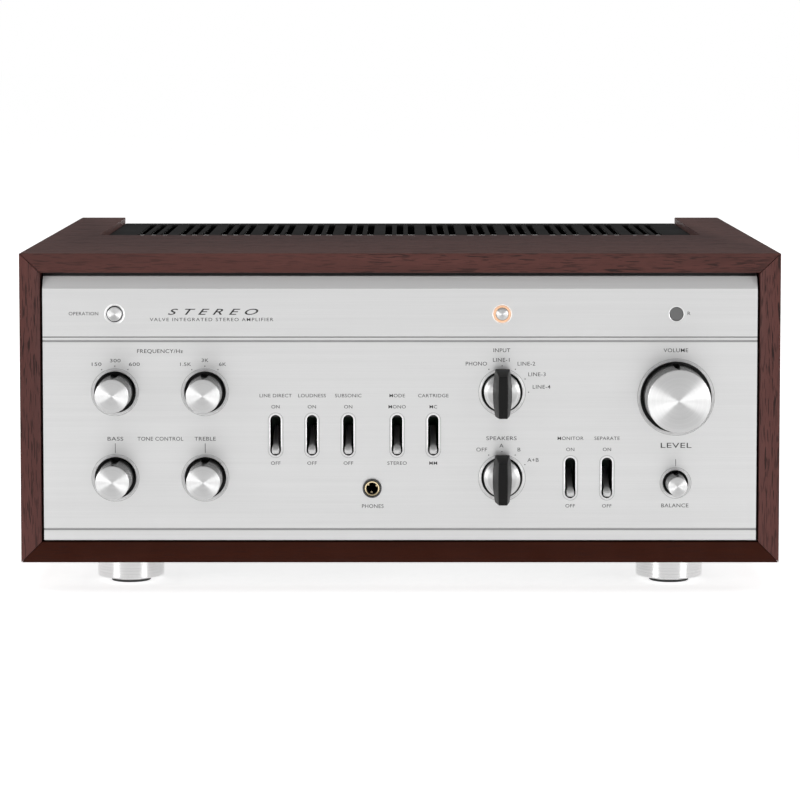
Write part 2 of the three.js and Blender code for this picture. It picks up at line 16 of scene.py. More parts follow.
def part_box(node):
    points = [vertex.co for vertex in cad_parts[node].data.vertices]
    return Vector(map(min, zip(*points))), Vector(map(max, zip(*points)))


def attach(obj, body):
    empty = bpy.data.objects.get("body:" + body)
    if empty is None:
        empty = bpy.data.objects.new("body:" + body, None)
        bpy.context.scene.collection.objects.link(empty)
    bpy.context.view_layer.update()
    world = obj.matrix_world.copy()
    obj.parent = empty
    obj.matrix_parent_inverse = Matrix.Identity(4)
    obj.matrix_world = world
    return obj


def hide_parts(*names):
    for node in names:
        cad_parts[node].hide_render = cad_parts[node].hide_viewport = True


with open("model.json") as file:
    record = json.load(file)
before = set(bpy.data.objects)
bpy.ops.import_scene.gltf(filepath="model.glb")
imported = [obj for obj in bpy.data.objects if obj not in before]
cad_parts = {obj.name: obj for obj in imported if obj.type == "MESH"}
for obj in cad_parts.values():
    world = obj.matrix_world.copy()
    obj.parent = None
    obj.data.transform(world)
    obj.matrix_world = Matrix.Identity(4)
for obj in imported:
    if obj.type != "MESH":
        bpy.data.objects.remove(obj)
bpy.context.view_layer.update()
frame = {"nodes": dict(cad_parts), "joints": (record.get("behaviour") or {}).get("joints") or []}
NODES = frame["nodes"]
MM = 0.001

# %% [markdown]
# ## Camera and light
# The front is looked at from far away with a long lens, a little from above, so that the panel stays
# nearly a true rectangle. A small lens shift keeps its upright edges parallel. Real product
# photographers light brushed metal with two tall soft boxes at the sides: the turned faces then show
# their bright fans, while the straight-brushed panel stays even.

# %% Camera
LENS, SHIFT_DOWN = 147.8, -0.15
CAMERA_PLACE = (0, -2.0733, 0.3211)
LOOKING_DOWN = 4.218  # degrees
scene = bpy.context.scene
scene.view_settings.view_transform = "Standard"
camera_data = bpy.data.cameras.new("camera")
camera_data.lens = LENS
camera_data.shift_y = SHIFT_DOWN
camera_data.clip_end = 60
camera = bpy.data.objects.new("camera", camera_data)
scene.collection.objects.link(camera)
camera.location = CAMERA_PLACE
camera.rotation_euler = (radians(90 - LOOKING_DOWN), 0, 0)
scene.camera = camera
print("camera at", tuple(round(c, 3) for c in camera.location))


# %% Soft boxes
def soft_box(name, place, aim, wide, tall, power):
    """A rectangular light at place, turned towards aim."""
    data = bpy.data.lights.new(name, "AREA")
    data.shape = "RECTANGLE"
    data.size, data.size_y = wide, tall
    data.energy = power
    lamp = bpy.data.objects.new(name, data)
    scene.collection.objects.link(lamp)
    lamp.location = place
    lamp.rotation_euler = (Vector(aim) - Vector(place)).to_track_quat("-Z", "Y").to_euler()


AIM = (0, 0, 0.1)
soft_box("soft_box_left", (-2.3, -2.1, 0.5), AIM, 1.1, 1.6, 42)
soft_box("soft_box_right", (2.3, -2.1, 0.5), AIM, 1.1, 1.6, 42)
soft_box("soft_box_above", (0, 0.7, 2.6), AIM, 3.0, 1.6, 14)
soft_box("soft_box_behind_left", (-2.5, 2.4, 1.5), AIM, 1.4, 1.6, 22)
soft_box("soft_box_behind_right", (2.5, 2.4, 1.5), AIM, 1.4, 1.6, 22)
print("soft boxes:", len(bpy.data.lights))

# %% [markdown]
# ## Shared effects
# Some effects turn up on many materials: the fine scratches of brushing, the worn paler edges of
# wood and enamel, and the slight mottle of any plain surface. Each is a node group with named
# inputs, built once. A group only puts out colours, masks and heights, and the shader itself stays
# in the material, because an exporter can't see a shader that hides in a group.


# %% Tools for building node trees
def wire(tree, kind, inputs=None, **settings):
    """A node of this kind, with its settings, and its inputs set to values or joined to sockets."""
    node = tree.nodes.new(kind)
    for name, value in settings.items():
        setattr(node, name, value)
    for key, value in (inputs or {}).items():
        socket = node.inputs[key]
        if isinstance(value, bpy.types.NodeSocket):
            tree.links.new(value, socket)
        else:
            socket.default_value = value
    return node


def shader_group(name, inputs, outputs):
    """An empty shader node group: its tree, the sockets coming in, and its output node."""
    tree = bpy.data.node_groups.new(name, "ShaderNodeTree")
    for label, (kind, default) in inputs.items():
        socket = tree.interface.new_socket(name=label, in_out="INPUT", socket_type=kind)
        if default is not None:
            socket.default_value = default
    for label, kind in outputs.items():
        tree.interface.new_socket(name=label, in_out="OUTPUT", socket_type=kind)
    source = tree.nodes.new("NodeGroupInput")
    return tree, source.outputs, tree.nodes.new("NodeGroupOutput")


FLOAT, COLOUR, VECTOR = "NodeSocketFloat", "NodeSocketColor", "NodeSocketVector"


def mixed(tree, factor, first, second, blend="MIX"):
    """The output of a colour mix. A mix node keeps its colours on sockets 6 and 7, and puts out on 2."""
    keys = {0: factor, 6: first, 7: second}
    return wire(tree, "ShaderNodeMix", keys, data_type="RGBA", blend_type=blend).outputs[2]


def math(tree, operation, first, second=0.0, clamp=False):
    """The output of a one-step sum."""
    return wire(tree, "ShaderNodeMath", {0: first, 1: second}, operation=operation,
                use_clamp=clamp).outputs[0]


def remapped(tree, value, low, high, to_low=0.0, to_high=1.0):
    """value, stretched from low..high to to_low..to_high and held there."""
    keys = {"Value": value, "From Min": low, "From Max": high, "To Min": to_low, "To Max": to_high}
    return wire(tree, "ShaderNodeMapRange", keys).outputs[0]


# %% [markdown]
# ### Room light and floor
# The room is a plain soft glow, brightest near the horizon. Behind the amplifier it is dim, as with a
# black flag there, so that the top of the case doesn't mirror a white wall. Light Path keeps the
# backdrop itself white for the camera. The floor is one very large square with a pale finish.

# %% Room light
world = bpy.data.worlds.new("studio")
scene.world = world
world.use_nodes = True
sky = world.node_tree.nodes["Background"]
sky.inputs["Color"].default_value = (1, 1, 1, 1)
way = wire(world.node_tree, "ShaderNodeTexCoord").outputs["Generated"]
parts = wire(world.node_tree, "ShaderNodeSeparateXYZ", {0: way}).outputs
glow = remapped(world.node_tree, parts["Z"], 0.03, 0.12, 1.05, 0.45)
behind = remapped(world.node_tree, parts["Y"], 0.7, 0.92)
low = remapped(world.node_tree, parts["Z"], 0.45, 0.15)
flag = math(world.node_tree, "SUBTRACT", 1.0, math(world.node_tree, "MULTIPLY", behind, low))
seen = wire(world.node_tree, "ShaderNodeLightPath").outputs["Is Camera Ray"]
strength = math(world.node_tree, "MAXIMUM", seen, math(world.node_tree, "MULTIPLY", glow, flag))
world.node_tree.links.new(strength, sky.inputs["Strength"])
print("room light:", len(world.node_tree.nodes), "nodes")

# %% Floor
HALF_FLOOR = 25
corners = [(-HALF_FLOOR, -HALF_FLOOR, 0), (HALF_FLOOR, -HALF_FLOOR, 0), (HALF_FLOOR, HALF_FLOOR, 0),
           (-HALF_FLOOR, HALF_FLOOR, 0)]
floor_mesh = bpy.data.meshes.new("floor")
floor_mesh.from_pydata(corners, [], [(0, 1, 2, 3)])
floor = bpy.data.objects.new("floor", floor_mesh)
scene.collection.objects.link(floor)
print("floor:", 2 * HALF_FLOOR, "m across")


# %% Brushing: long fine scratches along the first coordinate
def make_brushing():
    inputs = {"Vector": (VECTOR, None), "Along": (FLOAT, 12.0), "Across": (FLOAT, 1500.0),
              "Depth": (FLOAT, 0.06)}
    tree, given, out = shader_group("brushing", inputs,
                                    {"Tone": COLOUR, "Roughness": FLOAT, "Height": FLOAT})
    heights = []
    for along_share, across_share in ((1, 1), (0.3, 0.22)):
        scale = wire(tree, "ShaderNodeCombineXYZ", {
            0: math(tree, "MULTIPLY", given["Along"], along_share),
            1: math(tree, "MULTIPLY", given["Across"], across_share),
            2: math(tree, "MULTIPLY", given["Across"], across_share)})
        spot = wire(tree, "ShaderNodeVectorMath", {0: given["Vector"], 1: scale.outputs[0]},
                    operation="MULTIPLY")
        heights.append(wire(tree, "ShaderNodeTexNoise", {
            "Vector": spot.outputs[0], "Scale": 1.0, "Detail": 3.0, "Roughness": 0.6}).outputs[0])
    height = math(tree, "MULTIPLY", math(tree, "ADD", *heights), 0.5)
    low = math(tree, "SUBTRACT", 1.0, given["Depth"])
    tone = remapped(tree, height, 0.35, 0.65, low, 1.0)
    tree.links.new(wire(tree, "ShaderNodeCombineColor", {0: tone, 1: tone, 2: tone}).outputs[0],
                   out.inputs["Tone"])
    tree.links.new(remapped(tree, height, 0.35, 0.65, 1.08, 0.92), out.inputs["Roughness"])
    tree.links.new(height, out.inputs["Height"])
    return tree


# %% Edge wear: a mask that is bright where the surface turns sharply outwards
def make_edge_wear():
    inputs = {"Amount": (FLOAT, 0.5), "Patchiness": (FLOAT, 0.5)}
    tree, given, out = shader_group("edge_wear", inputs, {"Mask": FLOAT})
    place = wire(tree, "ShaderNodeTexCoord").outputs["Object"]
    patch = wire(tree, "ShaderNodeTexNoise", {"Vector": place, "Scale": 45.0, "Detail": 4.0}).outputs[0]
    edge = remapped(tree, wire(tree, "ShaderNodeNewGeometry").outputs["Pointiness"], 0.51, 0.62)
    broken = math(tree, "MULTIPLY", edge, remapped(tree, patch, 0.3, 0.7,
                                                   math(tree, "SUBTRACT", 1.0, given["Patchiness"])))
    tree.links.new(math(tree, "MULTIPLY", broken, given["Amount"], clamp=True), out.inputs["Mask"])
    return tree


# %% Mottle: the slight unevenness of any plain finish
def make_mottle():
    inputs = {"Colour": (COLOUR, (0.5, 0.5, 0.5, 1)), "Roughness": (FLOAT, 0.4), "Grain": (FLOAT, 900.0),
              "Amount": (FLOAT, 0.15)}
    tree, given, out = shader_group("mottle", inputs,
                                    {"Colour": COLOUR, "Roughness": FLOAT, "Height": FLOAT})
    place = wire(tree, "ShaderNodeTexCoord").outputs["Object"]
    fine = wire(tree, "ShaderNodeTexNoise", {"Vector": place, "Scale": given["Grain"],
                                             "Detail": 2.0}).outputs[0]
    broad = wire(tree, "ShaderNodeTexNoise", {"Vector": place, "Scale": 22.0, "Detail": 3.0}).outputs[0]
    dark = mixed(tree, given["Amount"], given["Colour"], (0.0, 0.0, 0.0, 1))
    tree.links.new(mixed(tree, broad, dark, given["Colour"]), out.inputs["Colour"])
    high = math(tree, "ADD", 1.0, given["Amount"])
    low = math(tree, "SUBTRACT", 1.0, given["Amount"])
    uneven = math(tree, "MULTIPLY", given["Roughness"], remapped(tree, broad, 0.3, 0.7, low, high))
    tree.links.new(uneven, out.inputs["Roughness"])
    tree.links.new(fine, out.inputs["Height"])
    return tree


BRUSHING, EDGE_WEAR, MOTTLE = make_brushing(), make_edge_wear(), make_mottle()
print("shader groups:", [tree.name for tree in (BRUSHING, EDGE_WEAR, MOTTLE)])


# %% [markdown]
# ## Materials
# A material starts as a Principled BSDF. What is the same all over, such as how metallic it is, is
# set on the shader's own socket, and only what changes over the surface is joined up by nodes.

# %% Tools for materials
def rgba(red, green, blue):
    return (red, green, blue, 1.0)


def grey(value):
    return rgba(value, value, value)


def new_material(name, **constants):
    """A material, its tree and its shader, with the shader's plain sockets set."""
    material = bpy.data.materials.new(name)
    material.use_nodes = True
    shader = material.node_tree.nodes["Principled BSDF"]
    for label, value in constants.items():
        shader.inputs[label.replace("_", " ")].default_value = value
    return material, material.node_tree, shader


def use_group(tree, group, inputs):
    """A shader group's outputs, with its inputs set or joined."""
    return wire(tree, "ShaderNodeGroup", inputs, node_tree=group).outputs


def bumped(tree, shader, height, distance, strength=1.0):
    """Joins a bump of this height to the shader."""
    bump = wire(tree, "ShaderNodeBump", {"Height": height, "Distance": distance, "Strength": strength})
    tree.links.new(bump.outputs[0], shader.inputs["Normal"])


# %% [markdown]
# ### Plain finishes
# Enamel, moulded plastic and plating differ only in colour, gloss and how coarse their mottle is, so
# one function makes them all. Edge wear is a second colour that shows where the mask is bright.


# %% Plain finishes
def plain(name, colour, roughness, metallic=0.0, grain=900.0, amount=0.15, bump=0.00001, worn=None,
          **constants):
    material, tree, shader = new_material(name, Metallic=metallic, **constants)
    made = use_group(tree, MOTTLE, {"Colour": colour, "Roughness": roughness, "Grain": grain,
                                    "Amount": amount})
    shown = made["Colour"]
    if worn:
        mask = use_group(tree, EDGE_WEAR, {"Amount": 0.7, "Patchiness": 0.6})["Mask"]
        shown = mixed(tree, mask, shown, worn)
    tree.links.new(shown, shader.inputs["Base Color"])
    tree.links.new(made["Roughness"], shader.inputs["Roughness"])
    bumped(tree, shader, made["Height"], bump)
    return material


BLACK_ENAMEL = plain("black_enamel", grey(0.012), 0.42, grain=1400, bump=0.00003, worn=grey(0.05))
VENT_BLACK = plain("vent_black", grey(0.006), 0.55, grain=1400, bump=0.00003, worn=grey(0.02),
                   Specular_IOR_Level=0.04)
RECESS_BLACK = plain("recess_black", grey(0.004), 0.6)
POINTER_BLACK = plain("pointer_black", grey(0.005), 0.5, grain=1100, worn=grey(0.015),
                      Specular_IOR_Level=0.12)
BLACK_MOULDING = plain("black_moulding", grey(0.014), 0.5, grain=1100, worn=grey(0.04))
INDEX_BLACK = plain("index_black", grey(0.003), 0.35)
ENGRAVED_LINE = plain("engraved_line", grey(0.36), 0.5, metallic=0.6)
PLATED_STEEL = plain("plated_steel", grey(0.62), 0.3, metallic=1.0, amount=0.1)
ZINC_SHEET = plain("zinc_sheet", grey(0.5), 0.42, metallic=1.0, grain=260, amount=0.25)
PALE_GOLD = plain("pale_gold", rgba(0.80, 0.66, 0.42), 0.25, metallic=1.0, amount=0.08)
LEVER_METAL = plain("lever_metal", grey(0.5), 0.5, metallic=0.25, amount=0.1)
GOLD_PLATE = plain("gold_plate", rgba(0.80, 0.56, 0.24), 0.22, metallic=1.0, amount=0.08)
SMOKED_WINDOW = plain("smoked_window", grey(0.095), 0.25, amount=0.05)
PRINT_DARK = plain("print_dark", grey(0.01), 0.6, amount=0.2)
PRINT_LIGHT = plain("print_light", grey(0.7), 0.6, amount=0.1)
RED_MOULDING = plain("red_moulding", rgba(0.42, 0.015, 0.012), 0.4)
WHITE_MOULDING = plain("white_moulding", grey(0.7), 0.4)
BAKELITE = plain("bakelite", rgba(0.045, 0.018, 0.012), 0.35)
RUBBER = plain("rubber", grey(0.02), 0.75, grain=700, bump=0.00004)
CIRCUIT_GREEN = plain("circuit_green", rgba(0.018, 0.085, 0.03), 0.45, grain=300, amount=0.4)
CAN_SLEEVE = plain("can_sleeve", rgba(0.012, 0.02, 0.05), 0.3)
WINDING_TAPE = plain("winding_tape", rgba(0.30, 0.20, 0.05), 0.5, grain=400, amount=0.3)
CORE_STEEL = plain("core_steel", grey(0.16), 0.45, metallic=0.8, grain=500, amount=0.3)
VALVE_PLATE = plain("valve_plate", grey(0.06), 0.55, metallic=0.6)
print("plain finishes:", len(bpy.data.materials))

# %% [markdown]
# ### Brushed and turned aluminium
# The panel is brushed from side to side. The knobs are faced on a lathe, so their scratches run
# round. Both are the same metal: only the direction differs. Each brushed mesh carries a UV map
# whose first coordinate runs along the scratches and whose unit is a tenth of a metre, and the
# Tangent node reads it. A quarter turn then stretches the highlight across the scratches, as on the
# real metal.

# %% Brushed aluminium
UV_NAME = "along_the_brushing"
UV_UNIT = 0.1


def brushed(name, tone, roughness, stretch, along, across, depth, bump, metallic=1.0):
    """Aluminium with scratches along its UV map. stretch is how far the highlight is drawn out."""
    material, tree, shader = new_material(name, Metallic=metallic, Anisotropic=stretch,
                                          Anisotropic_Rotation=0.25)
    place = wire(tree, "ShaderNodeUVMap", uv_map=UV_NAME).outputs[0]
    lines = use_group(tree, BRUSHING, {"Vector": place, "Along": along, "Across": across, "Depth": depth})
    colour = mixed(tree, 1.0, grey(tone), lines["Tone"], "MULTIPLY")
    tree.links.new(colour, shader.inputs["Base Color"])
    tree.links.new(math(tree, "MULTIPLY", lines["Roughness"], roughness), shader.inputs["Roughness"])
    tangent = wire(tree, "ShaderNodeTangent", direction_type="UV_MAP", uv_map=UV_NAME)
    tree.links.new(tangent.outputs[0], shader.inputs["Tangent"])
    bumped(tree, shader, lines["Height"], bump)
    return material


BRUSHED_PANEL = brushed("brushed_panel", 0.70, 0.40, 0.6, 1.2, 170, 0.045, 0.000003)
SATIN_SLOPE = brushed("satin_slope", 0.52, 0.5, 0.6, 1.2, 170, 0.05, 0.000004, metallic=0.25)
POLISHED_EDGE = brushed("polished_edge", 0.92, 0.48, 0.2, 1.0, 200, 0.03, 0.000002)
SPUN_FACE = brushed("spun_face", 0.66, 0.40, 0.97, 0.6, 260, 0.08, 0.000004)
TURNED_SIDE = brushed("turned_side", 0.70, 0.26, 0.7, 0.6, 200, 0.12, 0.000006)
KNOB_SIDE = brushed("knob_side", 0.27, 0.30, 0.7, 0.6, 200, 0.12, 0.000006)
print("brushed finishes:", BRUSHED_PANEL.name, POLISHED_EDGE.name, SPUN_FACE.name, TURNED_SIDE.name)

# %% [markdown]
# ### Walnut
# The sleeve is veneered in a dark open-pored wood, stained reddish brown and lacquered. Seen close,
# it is a soft figure of paler and darker bands, and over it the pores: short black dashes along the
# grain. All of it is noise, drawn out along the grain. One group makes the pattern, and each board
# turns the coordinates so that its own grain runs along the first of them. The side boards also get
# paler colours than the top, which is painted light from the side lamps, and the bottom rail much
# darker ones, which is painted shade under the front panel.


# %% Wood grain group
def make_grain():
    inputs = {"Vector": (VECTOR, None), "Dark": (COLOUR, grey(0.02)), "Light": (COLOUR, grey(0.1)),
              "Pores": (FLOAT, 0.8)}
    tree, given, out = shader_group("open_grain", inputs,
                                    {"Colour": COLOUR, "Roughness": FLOAT, "Height": FLOAT})

    def stretched(along, across, detail=3.0, rough=0.55, warp=0.0):
        spot = wire(tree, "ShaderNodeVectorMath", {0: given["Vector"], 1: (along, across, across)},
                    operation="MULTIPLY")
        keys = {"Vector": spot.outputs[0], "Scale": 1.0, "Detail": detail, "Roughness": rough,
                "Distortion": warp}
        return wire(tree, "ShaderNodeTexNoise", keys).outputs[0]

    figure = remapped(tree, stretched(5, 70, 4.0, 0.6, 0.6), 0.22, 0.78)
    fibres = remapped(tree, stretched(40, 1100, 2.0), 0.3, 0.7)
    wood = mixed(tree, figure, given["Dark"], given["Light"])
    wood = mixed(tree, math(tree, "MULTIPLY", fibres, 0.25), wood, given["Dark"])
    long_pores = remapped(tree, stretched(75, 950, 1.0), 0.59, 0.64)
    short_pores = remapped(tree, stretched(140, 1800, 0.0), 0.62, 0.70)
    pores = math(tree, "MAXIMUM", long_pores, math(tree, "MULTIPLY", short_pores, 0.7))
    gathered = remapped(tree, stretched(9, 60, 2.0), 0.38, 0.6, 0.45, 1.0)
    pores = math(tree, "MULTIPLY", math(tree, "MULTIPLY", pores, gathered), given["Pores"], clamp=True)
    tree.links.new(mixed(tree, pores, wood, rgba(0.008, 0.003, 0.003)), out.inputs["Colour"])
    tree.links.new(remapped(tree, pores, 0, 1, 0.46, 0.7), out.inputs["Roughness"])
    tree.links.new(math(tree, "SUBTRACT", math(tree, "MULTIPLY", fibres, 0.2), pores), out.inputs["Height"])
    return tree


GRAIN = make_grain()


# %% Walnut boards
def walnut(name, turn, offset, dark, light, pores=1.0, shine=0.16):
    """Lacquered walnut: turn is the coordinates' rotation that lays the grain along the board."""
    material, tree, shader = new_material(name, Specular_IOR_Level=shine)
    place = wire(tree, "ShaderNodeTexCoord").outputs["Object"]
    laid = wire(tree, "ShaderNodeMapping", {"Vector": place, "Location": offset, "Rotation": turn})
    made = use_group(tree, GRAIN, {"Vector": laid.outputs[0], "Dark": dark, "Light": light, "Pores": pores})
    mask = use_group(tree, EDGE_WEAR, {"Amount": 0.5, "Patchiness": 0.3})["Mask"]
    worn = mixed(tree, mask, made["Colour"], rgba(0.13, 0.06, 0.05))
    tree.links.new(worn, shader.inputs["Base Color"])
    tree.links.new(made["Roughness"], shader.inputs["Roughness"])
    bumped(tree, shader, made["Height"], 0.00008, 0.8)
    return material


DARK_WOOD, LIGHT_WOOD = rgba(0.034, 0.0095, 0.0078), rgba(0.074, 0.023, 0.019)
# The side boards' colours are paler than the top's: painted light, standing for the side lamps falling on
# them.
DARK_SIDE_PAINTED_LIGHT, LIGHT_SIDE_PAINTED_LIGHT = rgba(0.050, 0.015, 0.013), rgba(0.105, 0.036, 0.031)
# The bottom rail's colours are far darker than the top's: painted shade, standing for the shadow under the
# front panel.
DARK_RAIL_PAINTED_SHADE, LIGHT_RAIL_PAINTED_SHADE = rgba(0.016, 0.0026, 0.0006), rgba(0.028, 0.0050, 0.0012)
WALNUT_ACROSS = walnut("walnut_across", (0, 0, 0), (0, 0, 0), DARK_WOOD, LIGHT_WOOD)
# Both side boards use the paler colours, so they carry painted light.
WALNUT_LEFT_PAINTED_LIGHT = walnut("walnut_left_painted_light", (0, pi / 2, 0), (0, 0.37, 0.11), DARK_SIDE_PAINTED_LIGHT, LIGHT_SIDE_PAINTED_LIGHT)
WALNUT_RIGHT_PAINTED_LIGHT = walnut("walnut_right_painted_light", (0, pi / 2, 0), (0, 0.91, 0.53), DARK_SIDE_PAINTED_LIGHT, LIGHT_SIDE_PAINTED_LIGHT)
# The rail's walnut uses the darker colours, so it carries painted shade.
WALNUT_RAIL_PAINTED_SHADE = walnut("walnut_rail_painted_shade", (0, 0, 0), (0.7, 0.2, 0.3), DARK_RAIL_PAINTED_SHADE, LIGHT_RAIL_PAINTED_SHADE, pores=0.3,
                     shine=0.02)
print("wood:", GRAIN.name, "in four boards")


# %% Glass, lit lens and floor
GLASS, glass_tree, glass = new_material("valve_glass", Transmission_Weight=1.0, IOR=1.5)
haze = use_group(glass_tree, MOTTLE, {"Colour": grey(0.95), "Roughness": 0.03, "Grain": 200.0,
                                      "Amount": 0.05})
glass_tree.links.new(haze["Colour"], glass.inputs["Base Color"])
glass_tree.links.new(haze["Roughness"], glass.inputs["Roughness"])

LIT_LENS, lens_tree, lens = new_material("lit_lens", Emission_Strength=0.3)
warm = wire(lens_tree, "ShaderNodeTexNoise", {"Scale": 500.0, "Detail": 2.0})
glow = mixed(lens_tree, warm.outputs[0], rgba(0.52, 0.29, 0.16), rgba(0.70, 0.44, 0.29))
lens_tree.links.new(glow, lens.inputs["Base Color"])
lens_tree.links.new(glow, lens.inputs["Emission Color"])

FLOOR = plain("floor_white", grey(0.9), 0.7, amount=0.01, Emission_Strength=0.6, Specular_IOR_Level=0.0)
floor_mesh.materials.append(FLOOR)
print(len(bpy.data.materials), "materials")

# %% [markdown]
# ## Tools for shapes
# Nearly everything on this amplifier is either turned on a lathe or cut from a bar or a sheet. So
# two helpers do most of the work: one spins an outline about a line, and the other pushes a flat
# outline through a thickness. Both lay down the UV map that the brushed finishes need.

# %% Where things are
CASE_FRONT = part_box("cabinet_top")[0].y
REAR_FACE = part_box("rear_panel")[1].y
CENTRES = {joint["child"]: Vector(joint["pos_m"]) for joint in frame["joints"] if "pos_m" in joint}


def middle(node):
    low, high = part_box(node)
    return (low + high) / 2


def span(node):
    low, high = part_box(node)
    return high - low


print("the case's front is at y", round(CASE_FRONT, 4), "and its rear panel at", round(REAR_FACE, 4))

# %% From mesh to finished piece
def keep(name, mesh, body, materials=(), replaced=(), sharp=35):
    """Puts a finished mesh in the scene, riding on a body. Edges sharper than sharp degrees stay crisp."""
    for material in materials:
        mesh.materials.append(material)
    mesh.name = name
    mesh.shade_smooth()
    mesh.set_sharp_from_angle(angle=radians(sharp))
    piece = bpy.data.objects.new(name, mesh)
    scene.collection.objects.link(piece)
    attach(piece, body)
    if replaced:
        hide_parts(*replaced)
    return piece


def mesh_of(bm, name="shape"):
    mesh = bpy.data.meshes.new(name)
    bm.to_mesh(mesh)
    bm.free()
    return mesh


def with_modifier(mesh, kind, materials=(), **settings):
    """mesh after one modifier, as a new plain mesh."""
    for material in materials:
        mesh.materials.append(material)
    holder = bpy.data.objects.new("holder", mesh)
    scene.collection.objects.link(holder)
    modifier = holder.modifiers.new(kind.lower(), kind)
    for key, value in settings.items():
        setattr(modifier, key, value)
    graph = bpy.context.evaluated_depsgraph_get()
    ready = holder.evaluated_get(graph)
    made = bpy.data.meshes.new_from_object(ready, preserve_all_data_layers=True, depsgraph=graph)
    bpy.data.objects.remove(holder)
    return made


def rounded(mesh, width, segments=2, angle=30):
    """mesh with its sharp edges rounded over by width."""
    return with_modifier(mesh, "BEVEL", width=width, segments=segments, limit_method="ANGLE",
                         angle_limit=radians(angle), use_clamp_overlap=True)


def carved(mesh, cutter, materials=(), cutter_materials=()):
    """mesh with the cutter taken away. What the cutter uncovers keeps the cutter's own finish."""
    for material in cutter_materials:
        cutter.materials.append(material)
    tool = bpy.data.objects.new("cutter", cutter)
    scene.collection.objects.link(tool)
    made = with_modifier(mesh, "BOOLEAN", materials, object=tool, operation="DIFFERENCE",
                         solver="EXACT", material_mode="TRANSFER")
    bpy.data.objects.remove(tool)
    return made


# %% Spinning an outline
def spin(bm, outline, sides, centre, axis="Y", material=0):
    """Adds an outline of (radius, along) points in millimetres, turned about a line through centre.

    An outline that starts and ends on the axis gives a solid, and one that closes on itself a ring."""
    uv = bm.loops.layers.uv.get(UV_NAME) or bm.loops.layers.uv.new(UV_NAME)
    rings, lengths, run = [], [], 0.0
    for i, (radius, along) in enumerate(outline):
        if i:
            run += ((radius - outline[i - 1][0]) ** 2 + (along - outline[i - 1][1]) ** 2) ** 0.5
        lengths.append(run * MM / UV_UNIT)
        if i == len(outline) - 1 and outline[0] == outline[-1] and radius > 0:
            rings.append(rings[0])
            continue
        ring = []
        for j in range(sides if radius > 0 else 1):
            turn = 2 * pi * j / sides
            across, up, on = radius * MM * cos(turn), radius * MM * sin(turn), along * MM
            spot = Vector((across, on, up)) if axis == "Y" else Vector((across, up, on))
            ring.append(bm.verts.new(centre + spot))
        rings.append(ring)
    faces = []
    for i in range(len(rings) - 1):
        near, far = rings[i], rings[i + 1]
        if len(near) == 1 and len(far) == 1:
            continue
        for j in range(sides):
            k = (j + 1) % sides
            corners = [(near[j % len(near)], j, i), (near[k % len(near)], j + 1, i),
                       (far[k % len(far)], j + 1, i + 1), (far[j % len(far)], j, i + 1)]
            if len(near) == 1:
                corners.pop(1)
            if len(far) == 1:
                corners.pop(2)
            face = bm.faces.new([corner[0] for corner in corners])
            face.material_index = material
            for loop, (_, step, row) in zip(face.loops, corners):
                pole = len(rings[row]) == 1
                loop[uv].uv = ((j + 0.5 if pole else step) / sides, lengths[row])
            faces.append(face)
    bmesh.ops.recalc_face_normals(bm, faces=faces)
    return faces


def turned(outline, sides, centre, axis="Y"):
    """A mesh turned from one outline."""
    bm = bmesh.new()
    spin(bm, outline, sides, centre, axis)
    return mesh_of(bm)


# %% Lofting through a row of outlines
def loft(bm, rings, material=0, last=None, closed=False):
    """Adds a solid through rings of points, all of the same count, and closes both ends.

    The skin between the last two rings may have a material of its own. A closed
    loft joins its last ring to its first instead, so it has no ends."""
    uv = bm.loops.layers.uv.get(UV_NAME) or bm.loops.layers.uv.new(UV_NAME)
    rows = [[bm.verts.new(point) for point in ring] for ring in rings]
    faces = [] if closed else [bm.faces.new(rows[0])]
    nexts = rows[1:] + rows[:1] if closed else rows[1:]
    for number, (near, far) in enumerate(zip(rows, nexts)):
        for i in range(len(near)):
            j = (i + 1) % len(near)
            faces.append(bm.faces.new((near[i], far[i], far[j], near[j])))
            if last is not None and number == len(rows) - 2:
                faces[-1].material_index = last
    if not closed:
        faces.append(bm.faces.new(list(reversed(rows[-1]))))
    for face in faces:
        face.material_index = face.material_index or material
        for loop in face.loops:
            loop[uv].uv = (loop.vert.co.x / UV_UNIT, loop.vert.co.z / UV_UNIT)
    bmesh.ops.recalc_face_normals(bm, faces=faces)
    return faces


def upright(outline, y):
    """An outline of (x, z) points as a ring of points at that y."""
    return [Vector((x, y, z)) for x, z in outline]


def slot_outline(x, z, wide, tall, steps=12):
    """The (x, z) outline of an upright slot with round ends."""
    reach = (tall - wide) / 2
    points = []
    for end, first in ((1, 0), (-1, pi)):
        for i in range(steps + 1):
            turn = first + pi * i / steps
            points.append((x + wide / 2 * cos(turn), z + end * reach + wide / 2 * sin(turn)))
    return points


def block(bm, low, high, material=0):
    """Adds a box from its lowest to its highest corner."""
    outline = [(low[0], low[2]), (high[0], low[2]), (high[0], high[2]), (low[0], high[2])]
    return loft(bm, [upright(outline, low[1]), upright(outline, high[1])], material)


# %% A softened copy of a CAD node
def softened(node, width, segments=2, material=None, body="root", sharp=35):
    """A CAD node's own shape with its loose triangles joined and its edges rounded over."""
    bm = bmesh.new()
    bm.from_mesh(NODES[node].data)
    bmesh.ops.remove_doubles(bm, verts=bm.verts, dist=2e-6)
    bmesh.ops.dissolve_limit(bm, angle_limit=radians(1), verts=bm.verts, edges=bm.edges)
    uv = bm.loops.layers.uv.get(UV_NAME) or bm.loops.layers.uv.new(UV_NAME)
    for face in bm.faces:
        for loop in face.loops:
            loop[uv].uv = (loop.vert.co.x / UV_UNIT, loop.vert.co.z / UV_UNIT)
    mesh = mesh_of(bm)
    mesh.materials.clear()
    return keep(node + "_finished", rounded(mesh, width, segments), body, [material], [node], sharp)


